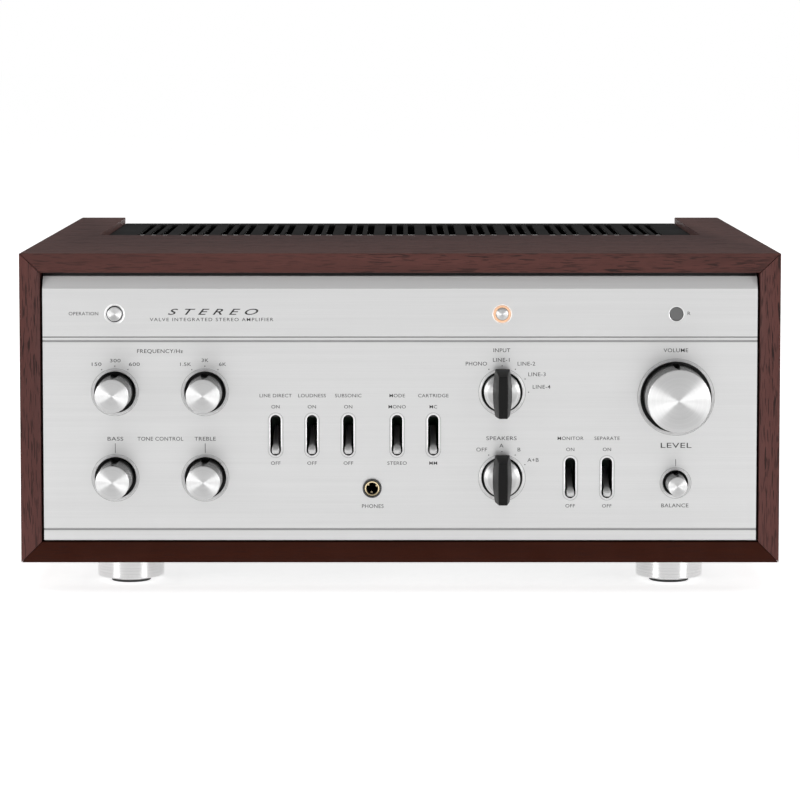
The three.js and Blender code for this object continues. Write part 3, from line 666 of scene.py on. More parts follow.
# %% [markdown]
# ## The wooden sleeve
# Four boards, mitred at the front corners, with a hairline joint between them. A cabinet maker
# breaks every sharp edge with a stroke of fine paper. Here a small bevel does that, and it is also
# what catches the light along the front. The CAD shapes are right, so each board is a softened copy.

# %% Four boards
EASED_EDGE = 0.45 * MM
for node, wood in (("cabinet_top", WALNUT_ACROSS), ("cabinet_left", WALNUT_LEFT_PAINTED_LIGHT),
                   ("cabinet_right", WALNUT_RIGHT_PAINTED_LIGHT), ("cabinet_bottom_rail", WALNUT_RAIL_PAINTED_SHADE)):
    board = softened(node, EASED_EDGE, 3, wood)
    print(board.name, len(board.data.polygons), "faces")

# %% [markdown]
# ## The front panel
# A bar of aluminium, brushed from side to side. Its top edge is a sloping band, and three lines are
# engraved right across. Every control has its own hole with a bright turned chamfer, and each lever
# has a slot with the same bright edge. One cutter holds all the holes, so one boolean does them
# all, and each face that it uncovers keeps the cutter's finish: bright on the chamfer, black inside.

# %% The panel's outline, extruded from left to right
PANEL_LOW, PANEL_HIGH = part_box("front_panel")
PANEL_FACE = CASE_FRONT + 3.5 * MM
PANEL_BACK = PANEL_FACE + 8 * MM
SLOPE_HEIGHT, SLOPE_DEPTH = 7 * MM, 5 * MM
EASE = 0.25 * MM
LINE_DEPTH = 0.9 * MM
LINES = [(36.1 * MM, 1.3 * MM), (145.9 * MM, 1.3 * MM), (148.2 * MM, 0.8 * MM)]


def panel_bar():
    """The panel's cross-section as (y, z) points, pushed along X."""
    section = [(PANEL_BACK, PANEL_LOW.z), (PANEL_FACE + EASE, PANEL_LOW.z),
               (PANEL_FACE, PANEL_LOW.z + EASE)]
    for height, wide in LINES:
        for z, y in ((-1, 0), (-1, LINE_DEPTH), (1, LINE_DEPTH), (1, 0)):
            section.append((PANEL_FACE + y, height + z * wide / 2))
    section += [(PANEL_FACE, PANEL_HIGH.z - SLOPE_HEIGHT), (PANEL_FACE + SLOPE_DEPTH, PANEL_HIGH.z),
                (PANEL_BACK, PANEL_HIGH.z)]
    bm = bmesh.new()
    uv = bm.loops.layers.uv.new(UV_NAME)
    ends = [[bm.verts.new((x, y, z)) for y, z in section] for x in (PANEL_LOW.x, PANEL_HIGH.x)]
    bm.faces.new(ends[0])
    bm.faces.new(list(reversed(ends[1])))
    for i in range(len(section)):
        j = (i + 1) % len(section)
        face = bm.faces.new((ends[0][i], ends[1][i], ends[1][j], ends[0][j]))
        in_groove = 3 <= i < 3 + 4 * len(LINES) and (i - 3) % 4 != 3
        if in_groove:
            face.material_index = 1
        elif i == len(section) - 3:
            face.material_index = 2
    bmesh.ops.recalc_face_normals(bm, faces=bm.faces)
    for face in bm.faces:
        for loop in face.loops:
            spot = loop.vert.co
            loop[uv].uv = (spot.x / UV_UNIT, (spot.z + spot.y) / UV_UNIT)
    return mesh_of(bm)


# %% The cutter: holes with chamfers, and lever slots
HOLES = {"low_turnover_knob": 12.1, "high_turnover_knob": 12.1, "bass_knob": 12.1, "treble_knob": 12.1,
         "volume_knob": 20.7, "balance_knob": 7.4, "input_selector": 12.0, "speaker_selector": 12.0}
SMALL_HOLES = {"power_button": (4.75, 1.2), "lamp_ring": (4.75, 0.9), "remote_window": (4.15, 0.3),
               "headphone_jack": (5.0, 0.5)}
LEVER_NAMES = [name for name in CENTRES if name.endswith("_lever")]
CHAMFER = 1.35  # width of the bright ring round a hole, in millimetres
HAIRLINE = 0.2  # width of the fine line engraved just outside the ring
STEEP = 0.35  # a chamfer's depth as a share of its width
PROUD = 0.05  # how far the cutter stands out of the panel
SLOT_WIDE, SLOT_TALL = 6.2, 23.8
LINE_GAP = 0.2  # from a ring's outer edge to its fine line
LINE_DEEP = 0.2
HOLE_DEEP = 9
BRIGHT, BLACK, ENGRAVED = 0, 1, 2


def hole_cutter(bm, centre, radius, chamfer, hairline=False):
    """A hole through the panel, its bright chamfer and the fine line round it."""
    start = Vector((centre.x, PANEL_FACE, centre.z))
    sides = 96 if radius > 8 else 64
    mouth = radius + chamfer + PROUD / STEEP
    outline = [(0, -PROUD), (mouth, -PROUD), (radius, chamfer * STEEP), (radius, HOLE_DEEP), (0, HOLE_DEEP)]
    faces = spin(bm, outline, sides, start)
    for face in faces[2 * sides:]:
        face.material_index = BLACK
    if hairline:
        near = radius + chamfer + LINE_GAP
        far = near + HAIRLINE
        line = [(near, -PROUD), (far, -PROUD), (far, LINE_DEEP), (near, LINE_DEEP), (near, -PROUD)]
        spin(bm, line, sides, start, material=ENGRAVED)


def slot_cutter(bm, centre, chamfer=0.3, line_gap=1.15):
    """A lever's slot, drawn in from its chamfered mouth, and the fine line round it."""
    def outline(grow, depth):
        ring = slot_outline(centre.x, centre.z, (SLOT_WIDE + 2 * grow) * MM, (SLOT_TALL + 2 * grow) * MM)
        return upright(ring, PANEL_FACE + depth * MM)

    mouth = chamfer + PROUD / STEEP
    loft(bm, [outline(mouth, -PROUD), outline(0, chamfer * STEEP), outline(0, HOLE_DEEP)], BRIGHT,
         last=BLACK)
    far = line_gap + HAIRLINE
    steps = ((line_gap, -PROUD), (far, -PROUD), (far, LINE_DEEP), (line_gap, LINE_DEEP))
    loft(bm, [outline(*step) for step in steps], ENGRAVED, closed=True)


cutters = bmesh.new()
for name, radius in HOLES.items():
    hole_cutter(cutters, CENTRES[name], radius, CHAMFER, hairline=True)
for name, (radius, chamfer) in SMALL_HOLES.items():
    hole_cutter(cutters, middle(name), radius, chamfer)
for name in LEVER_NAMES:
    slot_cutter(cutters, CENTRES[name])
panel_mesh = carved(panel_bar(), mesh_of(cutters), [BRUSHED_PANEL, ENGRAVED_LINE, SATIN_SLOPE],
                    [POLISHED_EDGE, RECESS_BLACK, ENGRAVED_LINE])
panel = keep("front_panel_finished", panel_mesh, "root", replaced=["front_panel"],
             sharp=12)
print("front panel:", len(panel.data.polygons), "faces,", [m.name for m in panel.data.materials])

# %% [markdown]
# ## Knobs
# Each knob is turned from bar: a flat face with a fine rounded edge, a groove part of the way back,
# and a slightly wider skirt that sinks into the panel. The index is a half-round groove milled at a
# slant, deep at the back and running out at the face, and filled with black. So the knob is one
# spun outline, and one slanting rod cuts the groove and leaves its own black finish behind.

# %% Round knobs
KNOB_END = CASE_FRONT + 40 * MM
SKIRT_BACK = PANEL_BACK - 0.5 * MM
KNOB_SIDES = 128


def round_knob(name, groove_radius, deep):
    """A knob turned from its CAD node's radius, with an index groove that is deep at the back."""
    radius = span(name).x / 2 / MM
    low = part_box(name)[0]
    centre = Vector((CENTRES[name].x, low.y, CENTRES[name].z))
    back, end = (SKIRT_BACK - low.y) / MM, (KNOB_END - low.y) / MM
    waist = min(14.5, back * 0.55)
    turns = (0, pi / 8, pi / 4, 3 * pi / 8, pi / 2)
    edge = [(radius - 0.2 - 0.5 * (1 - sin(t)), 0.5 * (1 - cos(t))) for t in turns]
    outline = [(0, 0.12), (radius * 0.5, 0.1), *edge, (radius - 0.25, waist), (radius - 0.55, waist + 0.15),
               (radius - 0.55, waist + 0.75), (radius, waist + 0.9), (radius + 0.15, back), (3, back),
               (3, end), (0, end)]
    bm = bmesh.new()
    faces = spin(bm, outline, KNOB_SIDES, centre)
    for face in faces[KNOB_SIDES * len(edge):]:
        face.material_index = 1
    rod = bmesh.new()
    lift = radius + groove_radius
    top = [Vector((centre.x, low.y - 2 * MM, centre.z + (lift - 0.15) * MM)),
           Vector((centre.x, SKIRT_BACK + 1 * MM, centre.z + (lift - deep) * MM))]
    rings = []
    for point in top:
        rings.append([point + Vector((groove_radius * MM * cos(a), 0, groove_radius * MM * sin(a)))
                      for a in (2 * pi * i / 32 for i in range(32))])
    loft(rod, rings)
    mesh = carved(mesh_of(bm), mesh_of(rod), [SPUN_FACE, KNOB_SIDE], [INDEX_BLACK])
    return keep(name + "_finished", mesh, name, replaced=[name], sharp=40)


for name in ("low_turnover_knob", "high_turnover_knob", "bass_knob", "treble_knob"):
    round_knob(name, 2.8, 1.8)
round_knob("volume_knob", 1.8, 2.2)
round_knob("balance_knob", 2.0, 1.4)

# %% [markdown]
# ## Selector knobs
# A selector is a stepped metal dial with a black grip bar across it. From the front, the bar's sides
# swell in the middle like a boat's, and it narrows towards a slim flat face. Its upper end is cut
# back at a slant, which makes it the pointer. Two outlines with the same number of points, one at
# the dial and one at the face, are lofted, and a bevel rounds every edge.

# %% Selector knobs
BAR_LOWER, BAR_UPPER = 13.4, 14.4
BAR_STEPS = 14


def boat(end, swell, low, high, centre, y):
    """A ring shaped like a boat's deck: its half width swells from end to end + swell in the middle."""
    points = []
    for side in (1, -1):
        for i in range(BAR_STEPS + 1):
            t = side * (2 * i / BAR_STEPS - 1)
            half = end + swell * (1 - t * t)
            reach = high if t > 0 else low
            points.append(Vector((centre.x + side * half * MM, y, centre.z + abs(t) * reach * MM)))
    return points


for name in ("input", "speaker"):
    centre, body = CENTRES[name + "_selector"], name + "_selector"
    low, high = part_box(name + "_dial")
    radius, face = span(name + "_dial").x / 2 / MM, low.y
    back, end = (SKIRT_BACK - face) / MM, (KNOB_END - face) / MM
    dial = turned([(0, 0), (radius * 0.55, 0), (radius - 1.9, 0), (radius - 1.65, 0.2), (radius - 1.5, 0.7),
                   (radius - 0.3, 1.1), (radius, 1.4), (radius, back), (3, back), (3, end), (0, end)],
                  KNOB_SIDES, Vector((centre.x, face, centre.z)))
    keep(name + "_dial_finished", dial, body, [SPUN_FACE], [name + "_dial"], 25)
    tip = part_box(name + "_pointer")[0].y
    bm = bmesh.new()
    loft(bm, [boat(2.45, 0.25, -13.0, 11.2, centre, tip),
              boat(4.15, 1.45, -BAR_LOWER, BAR_UPPER, centre, face - 0.3 * MM)])
    bar = rounded(mesh_of(bm), 0.35 * MM, 3, 25)
    keep(name + "_pointer_finished", bar, body, [POINTER_BLACK], [name + "_pointer"], 30)
print("selectors done")

# %% [markdown]
# ## Levers
# Each lever is a plated tongue with a round end, standing a little out of its slot. It is a row of
# rounded-box rings, drawn along the lever and then tipped down to where it rests.

# %% Lever tongues
LEVER_TILT = radians(16)
LEVER_REACH, LEVER_WIDE, LEVER_TALL = 34.0, 4.3, 3.4


def rounded_box_ring(half_wide, half_tall, along, pull=0.55, count=28):
    """A ring between an ellipse and a box, square to Y."""
    points = []
    for i in range(count):
        turn = 2 * pi * i / count
        c, s = cos(turn), sin(turn)
        points.append(Vector((half_wide * abs(c) ** pull * (1 if c > 0 else -1), along,
                              half_tall * abs(s) ** pull * (1 if s > 0 else -1))))
    return points


def lever_tongue(name):
    """A tongue on a lever's own pin, its round end a row of shrinking rings."""
    rings = [rounded_box_ring(LEVER_WIDE / 2 - 0.25, LEVER_TALL / 2 - 0.2,
                              y) for y in (4, -LEVER_REACH + 9)]
    for i in range(8):
        turn = pi / 2 * i / 7
        along = -LEVER_REACH + 2.6 * (1 - sin(turn))
        share = 0.12 + 0.88 * cos(turn) ** 0.6 if i < 7 else 0.12
        rings.append(rounded_box_ring(LEVER_WIDE / 2 * share, LEVER_TALL / 2 * share, along))
    place = Matrix.Translation(CENTRES[name]) @ Matrix.Rotation(LEVER_TILT, 4, "X") @ Matrix.Scale(MM, 4)
    bm = bmesh.new()
    loft(bm, [[place @ point for point in ring] for ring in rings])
    return keep(name + "_finished", mesh_of(bm), name, [LEVER_METAL], [name], 50)


for name in LEVER_NAMES:
    lever_tongue(name)
print(len(LEVER_NAMES), "levers")

# %% [markdown]
# ## Button, lamp, window and headphone socket
# All four are turned pieces set in round holes. The lamp is a bright metal cap inside a ring of
# amber plastic, lit from behind. The headphone socket is a gold barrel with a black nut outside it,
# and its spring contacts show inside.

# %% Turned pieces along the top row
def front_piece(name, outline, sides, body, finishes, sharp=30):
    """Turns an outline whose along values start at the case's front plane."""
    centre = middle(name)
    mesh = turned(outline, sides, Vector((centre.x, CASE_FRONT, centre.z)))
    return keep(name + "_finished", mesh, body, finishes, [name], sharp)


front_piece("power_button", [(0, 2.35), (2.8, 2.25), (3.55, 2.0), (3.95, 2.05), (4.15, 2.3), (4.15, 9),
                             (2, 9), (2, 26), (0, 26)],
            64, "power_button", [SPUN_FACE])
front_piece("lamp_cap", [(0, 2.3), (2.2, 2.3), (3.0, 2.45), (3.45, 2.75), (3.6, 3.2), (3.6, 12.5),
                         (0, 12.5)],
            64, "root", [SPUN_FACE])
front_piece("lamp_ring", [(3.8, 2.9), (4.5, 2.9), (4.85, 3.05), (4.95, 3.35), (4.95, 12.5), (3.8, 12.5),
                          (3.8, 2.9)],
            64, "root", [LIT_LENS])
front_piece("remote_window", [(0, 3.7), (3.7, 3.7), (4.0, 3.9), (4.0, 12.5), (0, 12.5)], 64, "root",
            [SMOKED_WINDOW])

# %% Headphone socket: gold barrel, black nut, contacts
JACK = middle("headphone_jack")
JACK_START = Vector((JACK.x, CASE_FRONT, JACK.z))
jack = bmesh.new()
barrel = spin(jack, [(0, 33.8), (3.3, 33.8), (3.3, 2.6), (3.55, 2.2), (4.15, 2.05), (4.4, 2.3), (4.4, 14.8),
                     (7, 14.8),
                     (7, 46.8), (0, 46.8)], 64, JACK_START, material=0)
for face in barrel[:2 * 64]:
    face.material_index = 2
spin(jack, [(4.6, 2.1), (5.25, 1.9), (5.5, 2.2), (5.5, 3.2), (4.6, 3.2), (4.6, 2.1)], 64, JACK_START,
     material=1)
for turn in (0.4, 2.5, 4.6):
    side = Vector((cos(turn), 0, sin(turn))) * 2.9 * MM
    block(jack, JACK_START + side + Vector((-0.5, 7, -0.5)) * MM,
          JACK_START + side + Vector((0.5, 20, 0.5)) * MM, 0)
keep("headphone_jack_finished", mesh_of(jack), "root",
     [PALE_GOLD, BLACK_MOULDING, RECESS_BLACK], ["headphone_jack"])
print("top row and socket done")

# %% [markdown]
# ## Copies by Geometry Nodes
# Slots, sockets, screws, grip ribs and steel laminations all repeat. Three small Geometry Nodes
# trees make every row, ring and scatter of them. Each has named inputs, ends by making its copies
# real and giving them their material, and its result is turned into a plain mesh, because an
# exporter drops instances.


# %% Tools for geometry trees
def geometry_tree(name, inputs):
    """An empty geometry tree: the tree, its incoming sockets, and the place to plug copies in."""
    tree = bpy.data.node_groups.new(name, "GeometryNodeTree")
    tree.interface.new_socket(name="Geometry", in_out="INPUT", socket_type="NodeSocketGeometry")
    for label, kind in inputs.items():
        tree.interface.new_socket(name=label, in_out="INPUT", socket_type="NodeSocket" + kind)
    tree.interface.new_socket(name="Geometry", in_out="OUTPUT", socket_type="NodeSocketGeometry")
    return tree, tree.nodes.new("NodeGroupInput").outputs, tree.nodes.new("NodeGroupOutput")


def copies_ending(tree, given, out, points, rotation=None):
    """Puts a copy of the object on every point, makes the copies real and sets their material."""
    pattern = wire(tree, "GeometryNodeObjectInfo", {"Object": given["Copy"], "As Instance": True})
    keys = {"Points": points, "Instance": pattern.outputs["Geometry"]}
    if rotation:
        keys["Rotation"] = rotation
    placed = wire(tree, "GeometryNodeInstanceOnPoints", keys)
    real = wire(tree, "GeometryNodeRealizeInstances", {"Geometry": placed.outputs[0]})
    painted = wire(tree, "GeometryNodeSetMaterial",
                   {"Geometry": real.outputs[0], "Material": given["Material"]})
    tree.links.new(painted.outputs[0], out.inputs[0])


def make_rows():
    """Copies in columns and rows: Start, then steps of Column step and Row step."""
    tree, given, out = geometry_tree("rows_of_copies", {
        "Copy": "Object", "Columns": "Int", "Rows": "Int", "Start": "Vector", "Column step": "Vector",
        "Row step": "Vector", "Material": "Material"})
    column = wire(tree, "GeometryNodeMeshLine", {
        "Count": given["Columns"], "Start Location": given["Start"], "Offset": given["Column step"]})
    row = wire(tree, "GeometryNodeMeshLine", {"Count": given["Rows"], "Offset": given["Row step"]})
    grid = wire(tree, "GeometryNodeInstanceOnPoints",
                {"Points": column.outputs[0], "Instance": row.outputs[0]})
    copies_ending(tree, given, out, wire(tree, "GeometryNodeRealizeInstances",
                                         {"Geometry": grid.outputs[0]}).outputs[0])
    return tree


def make_ring():
    """Copies round a circle that faces the front, from First angle on, clockwise from the top."""
    tree, given, out = geometry_tree("ring_of_copies", {
        "Copy": "Object", "Count": "Int", "Centre": "Vector", "Radius": "Float", "First angle": "Float",
        "Step angle": "Float", "Material": "Material"})
    index = wire(tree, "GeometryNodeInputIndex").outputs[0]
    angle = math(tree, "ADD", given["First angle"], math(tree, "MULTIPLY", index, given["Step angle"]))
    arm = wire(tree, "ShaderNodeCombineXYZ", {0: math(tree, "SINE", angle), 2: math(tree, "COSINE", angle)})
    reach = wire(tree, "ShaderNodeVectorMath", {0: arm.outputs[0], "Scale": given["Radius"]},
                 operation="SCALE")
    spot = wire(tree, "ShaderNodeVectorMath", {0: reach.outputs[0], 1: given["Centre"]}, operation="ADD")
    points = wire(tree, "GeometryNodePoints", {"Count": given["Count"], "Position": spot.outputs[0]})
    turn = wire(tree, "ShaderNodeCombineXYZ", {1: angle})
    copies_ending(tree, given, out, points.outputs[0], turn.outputs[0])
    return tree


def make_scatter():
    """Copies on the vertices of the object's own mesh, each pointing along its facing attribute."""
    tree, given, out = geometry_tree("copies_on_points", {"Copy": "Object", "Material": "Material"})
    facing = wire(tree, "GeometryNodeInputNamedAttribute", {"Name": "facing"}, data_type="FLOAT_VECTOR")
    turn = wire(tree, "FunctionNodeAlignRotationToVector", {"Vector": facing.outputs[0]}, axis="Z")
    copies_ending(tree, given, out, given["Geometry"], turn.outputs[0])
    return tree


ROWS, RING, SCATTER = make_rows(), make_ring(), make_scatter()


# %% Running a tree
def grown(tree, material, copy, mesh=None, **values):
    """The plain mesh that a tree makes of copies of a mesh.

    A value's name has _ where the tree's input has a space."""
    copy.materials.clear()
    copy.materials.append(material)
    pattern = bpy.data.objects.new("pattern", copy)
    scene.collection.objects.link(pattern)
    holder = bpy.data.objects.new("holder", mesh or bpy.data.meshes.new("points"))
    scene.collection.objects.link(holder)
    modifier = holder.modifiers.new("copies", "NODES")
    modifier.node_group = tree
    sockets = {item.name: item.identifier for item in tree.interface.items_tree if item.in_out == "INPUT"}
    for key, value in {"Copy": pattern, "Material": material, **values}.items():
        modifier[sockets[key.replace("_", " ")]] = value
    made = bpy.data.meshes.new_from_object(holder.evaluated_get(bpy.context.evaluated_depsgraph_get()))
    bpy.data.objects.remove(holder)
    bpy.data.objects.remove(pattern)
    return made


def joined(meshes):
    """Several meshes as one, each keeping its own materials."""
    whole, finishes = bmesh.new(), []
    for mesh in meshes:
        before = len(whole.faces)
        whole.from_mesh(mesh)
        whole.faces.ensure_lookup_table()
        order = []
        for material in mesh.materials:
            if material not in finishes:
                finishes.append(material)
            order.append(finishes.index(material))
        for face in whole.faces[before:]:
            face.material_index = order[face.material_index] if order else 0
    mesh = mesh_of(whole)
    for material in finishes:
        mesh.materials.append(material)
    return mesh


def scattered(copy, material, points, facing):
    """Copies of a mesh on every point, all facing the same way."""
    spots = mesh_of(points)
    attribute = spots.attributes.new("facing", "FLOAT_VECTOR", "POINT")
    for item in attribute.data:
        item.vector = facing
    return grown(SCATTER, material, copy, spots)


print("geometry trees:", [tree.name for tree in (ROWS, RING, SCATTER)])

# %% [markdown]
# ## The vent cover
# Behind the closed front strip, the top is open for the valves' heat, under a black sheet-steel
# cover with its edges folded down. Its slots stand in groups of three. The slots are copies of one
# round-ended bar, made by the tree of rows, and taken out of the sheet together.

# %% Vent cover
VENT_LOW, VENT_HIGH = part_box("vent_grille")
SHEET = 1.5 * MM
SLOT_GROUPS, GROUP_PITCH = 13, 26.9 * MM
VENT_SLOT, VENT_STEP = 4.6 * MM, 7.5 * MM
VENT_MARGIN, REAR_MARGIN = 11 * MM, 22 * MM


def vent_cover():
    bm = bmesh.new()
    block(bm, VENT_LOW, VENT_HIGH)
    inside = bmesh.new()
    block(inside, VENT_LOW + Vector((SHEET, SHEET, -SHEET)), VENT_HIGH - Vector((SHEET, SHEET, SHEET)))
    pan = rounded(carved(mesh_of(bm), mesh_of(inside), [VENT_BLACK], [VENT_BLACK]), 0.5 * MM, 3)
    long = VENT_HIGH.y - VENT_LOW.y - VENT_MARGIN - REAR_MARGIN
    cutter = bmesh.new()
    shape = slot_outline(0, 0, VENT_SLOT, long)
    loft(cutter, [[Vector((x, z, y)) for x, z in shape] for y in (-4 * MM, 4 * MM)])
    first = Vector((-(SLOT_GROUPS - 1) / 2 * GROUP_PITCH - VENT_STEP, VENT_LOW.y + VENT_MARGIN + long / 2,
                    VENT_HIGH.z))
    slots = grown(ROWS, VENT_BLACK, mesh_of(cutter), Columns=SLOT_GROUPS, Rows=3, Start=first,
                  Column_step=(GROUP_PITCH, 0, 0), Row_step=(VENT_STEP, 0, 0))
    return carved(pan, slots)


vent = keep("vent_grille_finished", vent_cover(), "root", replaced=["vent_grille"])
print("vent cover:", len(vent.data.polygons), "faces")

# %% [markdown]
# ## Feet
# Each foot is a polished aluminium drum with a small step under it and a thin rubber pad. The drum
# is turned, so its scratches run round it, and that draws the lights out into tall bright stripes.

# %% Feet
for node in ("foot_front_left", "foot_front_right", "foot_rear_left", "foot_rear_right"):
    foot = bmesh.new()
    centre = middle(node)
    centre.z = 0
    radius, tall = span(node).x / 2 / MM, span(node).z / MM
    spin(foot, [(0, 0), (11.3, 0), (11.7, 0.4), (11.7, 1.4), (0, 1.4)], 96, centre, "Z", 0)
    spin(foot, [(0, 1.5), (11.9, 1.5), (12.1, 1.7), (12.1, 3), (radius - 0.9, 3), (radius - 0.3, 3.2),
                (radius, 3.8),
                (radius, tall), (0, tall)], 128, centre, "Z", 1)
    keep(node + "_finished", mesh_of(foot), "root", [RUBBER, TURNED_SIDE], [node], 25)
print("four feet")

# %% [markdown]
# ## Back of the amplifier
# The rear panel is enamelled steel with white lettering. On it sit a strip of phono sockets, a
# block of screw terminals for two pairs of speakers, the earth terminal and the mains inlet. The
# sockets are one turned shape copied by the tree of rows, once for the gold and once for the
# coloured ring inside it.

# %% Panel and phono sockets
softened("rear_panel", 0.3 * MM, 2, BLACK_ENAMEL)
PHONO_COLUMNS, PHONO_PITCH = 9, 16 * MM
PHONO_START = Vector((62 * MM, REAR_FACE, 109 * MM))
PHONO_RISE = 22 * MM
STRIP_THICK, BLOCK_THICK = 2 * MM, 3.2 * MM
EARTH = middle("ground_nut")


def base_plate(node, thick, ease, segments=2):
    """A moulded plate as wide and tall as a CAD node, lying on the rear panel."""
    low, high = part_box(node)
    bm = bmesh.new()
    block(bm, low, (high.x, low.y + thick, high.z))
    plate = rounded(mesh_of(bm), ease * MM, segments)
    plate.materials.append(BLACK_MOULDING)
    return plate


def phono_strip():
    """A black strip, two rows of gold sockets with coloured rings inside, and the earth stud."""
    nose = (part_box("input_jacks")[1].y - REAR_FACE) / MM
    barrel = [(0, 1), (5.6, 1), (5.6, 3.4), (5.2, 3.8), (4.2, 3.8), (4.2, 4.6), (4.15, nose - 0.4),
              (3.9, nose),
              (3.3, nose), (3.2, nose - 0.3), (3.2, nose - 1.2), (0, nose - 1.2)]
    ring = [(3.1, nose - 1.3), (3.1, nose - 0.5), (1.7, nose - 0.5), (1.7, nose - 1.3), (3.1, nose - 1.3)]
    place = {"Start": PHONO_START, "Row_step": (0, 0, PHONO_RISE), "Column_step": (PHONO_PITCH, 0, 0)}
    sockets = grown(ROWS, GOLD_PLATE, turned(barrel, 32, Vector()), Columns=PHONO_COLUMNS, Rows=2, **place)
    parts = [base_plate("input_jacks", STRIP_THICK, 0.4), sockets]
    for row, finish in enumerate((RED_MOULDING, WHITE_MOULDING)):
        place["Start"] = PHONO_START + Vector((0, 0, row * PHONO_RISE))
        parts.append(grown(ROWS, finish, turned(ring, 32, Vector()), Columns=PHONO_COLUMNS, Rows=1,
                           **place))
    stud = turned([(0, 1), (5, 1), (5, 4.2), (1.6, 4.2), (1.6, 12.8), (1.2, 13.2), (0, 13.2)], 32,
                  Vector((EARTH.x, REAR_FACE, EARTH.z)))
    stud.materials.append(GOLD_PLATE)
    return joined([*parts, stud])


keep("input_jacks_finished", phono_strip(), "root", replaced=["input_jacks"])

# %% Speaker terminals
POST_NAMES = [f"terminal_cap_{row}{number}" for row in "ab" for number in (1, 2, 3, 4)]
BUSH_TALL = (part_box("terminal_cap_a1")[0].y - REAR_FACE) / MM


def terminal_block():
    """A moulded block with a bush and a gold stud for each screw cap."""
    parts = bmesh.new()
    for name in POST_NAMES:
        spot = middle(name)
        start = Vector((spot.x, REAR_FACE, spot.z))
        bush = [(0, 1.3), (7, 1.3), (7, BUSH_TALL - 0.7), (6.6, BUSH_TALL - 0.35), (0, BUSH_TALL - 0.35)]
        spin(parts, bush, 48, start)
        spin(parts, [(0, 1.4), (2, 1.4), (2, 15), (1.6, 15.4), (0, 15.4)], 32, start, material=1)
    parts = mesh_of(parts)
    parts.materials.append(BLACK_MOULDING)
    parts.materials.append(GOLD_PLATE)
    return joined([base_plate("speaker_terminals", BLOCK_THICK, 0.8, 3), parts])


keep("speaker_terminals_finished", terminal_block(), "root",
     replaced=["speaker_terminals"])

# %% [markdown]
# ### Screw caps
# A cap is a turned collar with grip ribs round it. The ribs are one small bar, copied round a ring
# by the second tree. Caps on the positive terminals have a red band. The earth terminal has the
# same cap in brass, and smaller.


# %% Screw caps
def screw_cap(name, ribs, finish, band):
    """A ribbed collar, from its CAD node's box, with a coloured band near its outer end."""
    low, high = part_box(name)
    centre = (low + high) / 2
    start = Vector((centre.x, low.y, centre.z))
    radius, tall = span(name).z / 2 / MM, span(name).y / MM
    bore = radius * 0.36 if finish is BLACK_MOULDING else radius * 0.42
    body = turned([(bore, 0), (radius * 0.82, 0), (radius * 0.9, 0.5), (radius * 0.9, tall - 2.6),
                   (radius * 0.86, tall - 0.6),
                   (radius * 0.78, tall), (bore + 0.5, tall), (bore, tall - 0.5), (bore, 0)], 64, start)
    body.materials.append(finish)
    rib = bmesh.new()
    high_rib, half_wide = radius * 0.1, radius * 0.075
    block(rib, Vector((-half_wide, 1.0, -high_rib)) * MM,
          Vector((half_wide, tall - 3.4, high_rib * 0.95)) * MM)
    ribs = grown(RING, finish, rounded(mesh_of(rib), 0.2 * MM), Count=ribs, Centre=start,
                 Radius=radius * 0.9 * MM, First_angle=0.0, Step_angle=2 * pi / ribs)
    hoop = turned([(radius * 0.87, tall - 3.1), (radius * 0.97, tall - 3.0), (radius * 0.97, tall - 2.0),
                   (radius * 0.87, tall - 1.9), (radius * 0.87, tall - 3.1)], 64, start)
    hoop.materials.append(band)
    return keep(name + "_finished", joined([body, ribs, hoop]), name, replaced=[name])


for name in POST_NAMES:
    positive = name[-1] in "13"
    screw_cap(name, 18, BLACK_MOULDING, RED_MOULDING if positive else BLACK_MOULDING)
screw_cap("ground_nut", 16, GOLD_PLATE, GOLD_PLATE)

# %% Mains inlet
BLADES = [(-4.6, -3.4), (0, 2.2), (4.6, -3.4)]  # the three pins, as (x, z) from the socket's centre
WELL_DEEP = 17


def mains_inlet():
    """A flanged socket with its well cut in, and three blades standing in the well."""
    low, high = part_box("power_inlet")
    centre = (low + high) / 2
    body = bmesh.new()
    block(body, (low.x, high.y - 2.5 * MM, low.z), (high.x, high.y, high.z))
    flange = rounded(mesh_of(body), 0.8 * MM, 3)
    shell = bmesh.new()
    block(shell, (centre.x - 14.2 * MM, low.y, centre.z - 10 * MM),
          (centre.x + 14.2 * MM, high.y - 1 * MM, centre.z + 10 * MM))
    half, tall, cut = 12.2, 8.0, 3.2
    shape = [(-half, -tall), (half, -tall), (half, tall - cut), (half - cut, tall), (cut - half, tall),
             (-half, tall - cut)]
    well = bmesh.new()
    loft(well, [upright([(centre.x + x * MM, centre.z + z * MM) for x, z in shape], high.y + y * MM)
                for y in (-WELL_DEEP, 1)])
    well = mesh_of(well)
    parts = [carved(mesh, well.copy(), [BLACK_MOULDING],
                    [RECESS_BLACK]) for mesh in (flange, mesh_of(shell))]
    pins = bmesh.new()
    for x, z in BLADES:
        spot = Vector((centre.x + x * MM, high.y, centre.z + z * MM))
        block(pins, spot + Vector((-1, -WELL_DEEP - 0.5, -2)) * MM, spot + Vector((1, -4, 2)) * MM)
    pins = rounded(mesh_of(pins), 0.3 * MM)
    pins.materials.append(PLATED_STEEL)
    return joined([*parts, pins])


keep("power_inlet_finished", mains_inlet(), "root", replaced=["power_inlet"])
print("rear pieces done")

# %% [markdown]
# ## Inside the case
# Through the vent slots, and from behind with the cover off, the works can be seen: a zinc-plated
# tray, three transformers wound on stacks of thin steel plates, a circuit board with six valves and
# a filter capacitor, and two upright boards behind the front panel that carry the controls.

# %% Tray and the plate behind the front panel
softened("chassis_tray", 0.3 * MM, 2, ZINC_SHEET)
softened("front_subpanel", 0.2 * MM, 2, BLACK_ENAMEL)

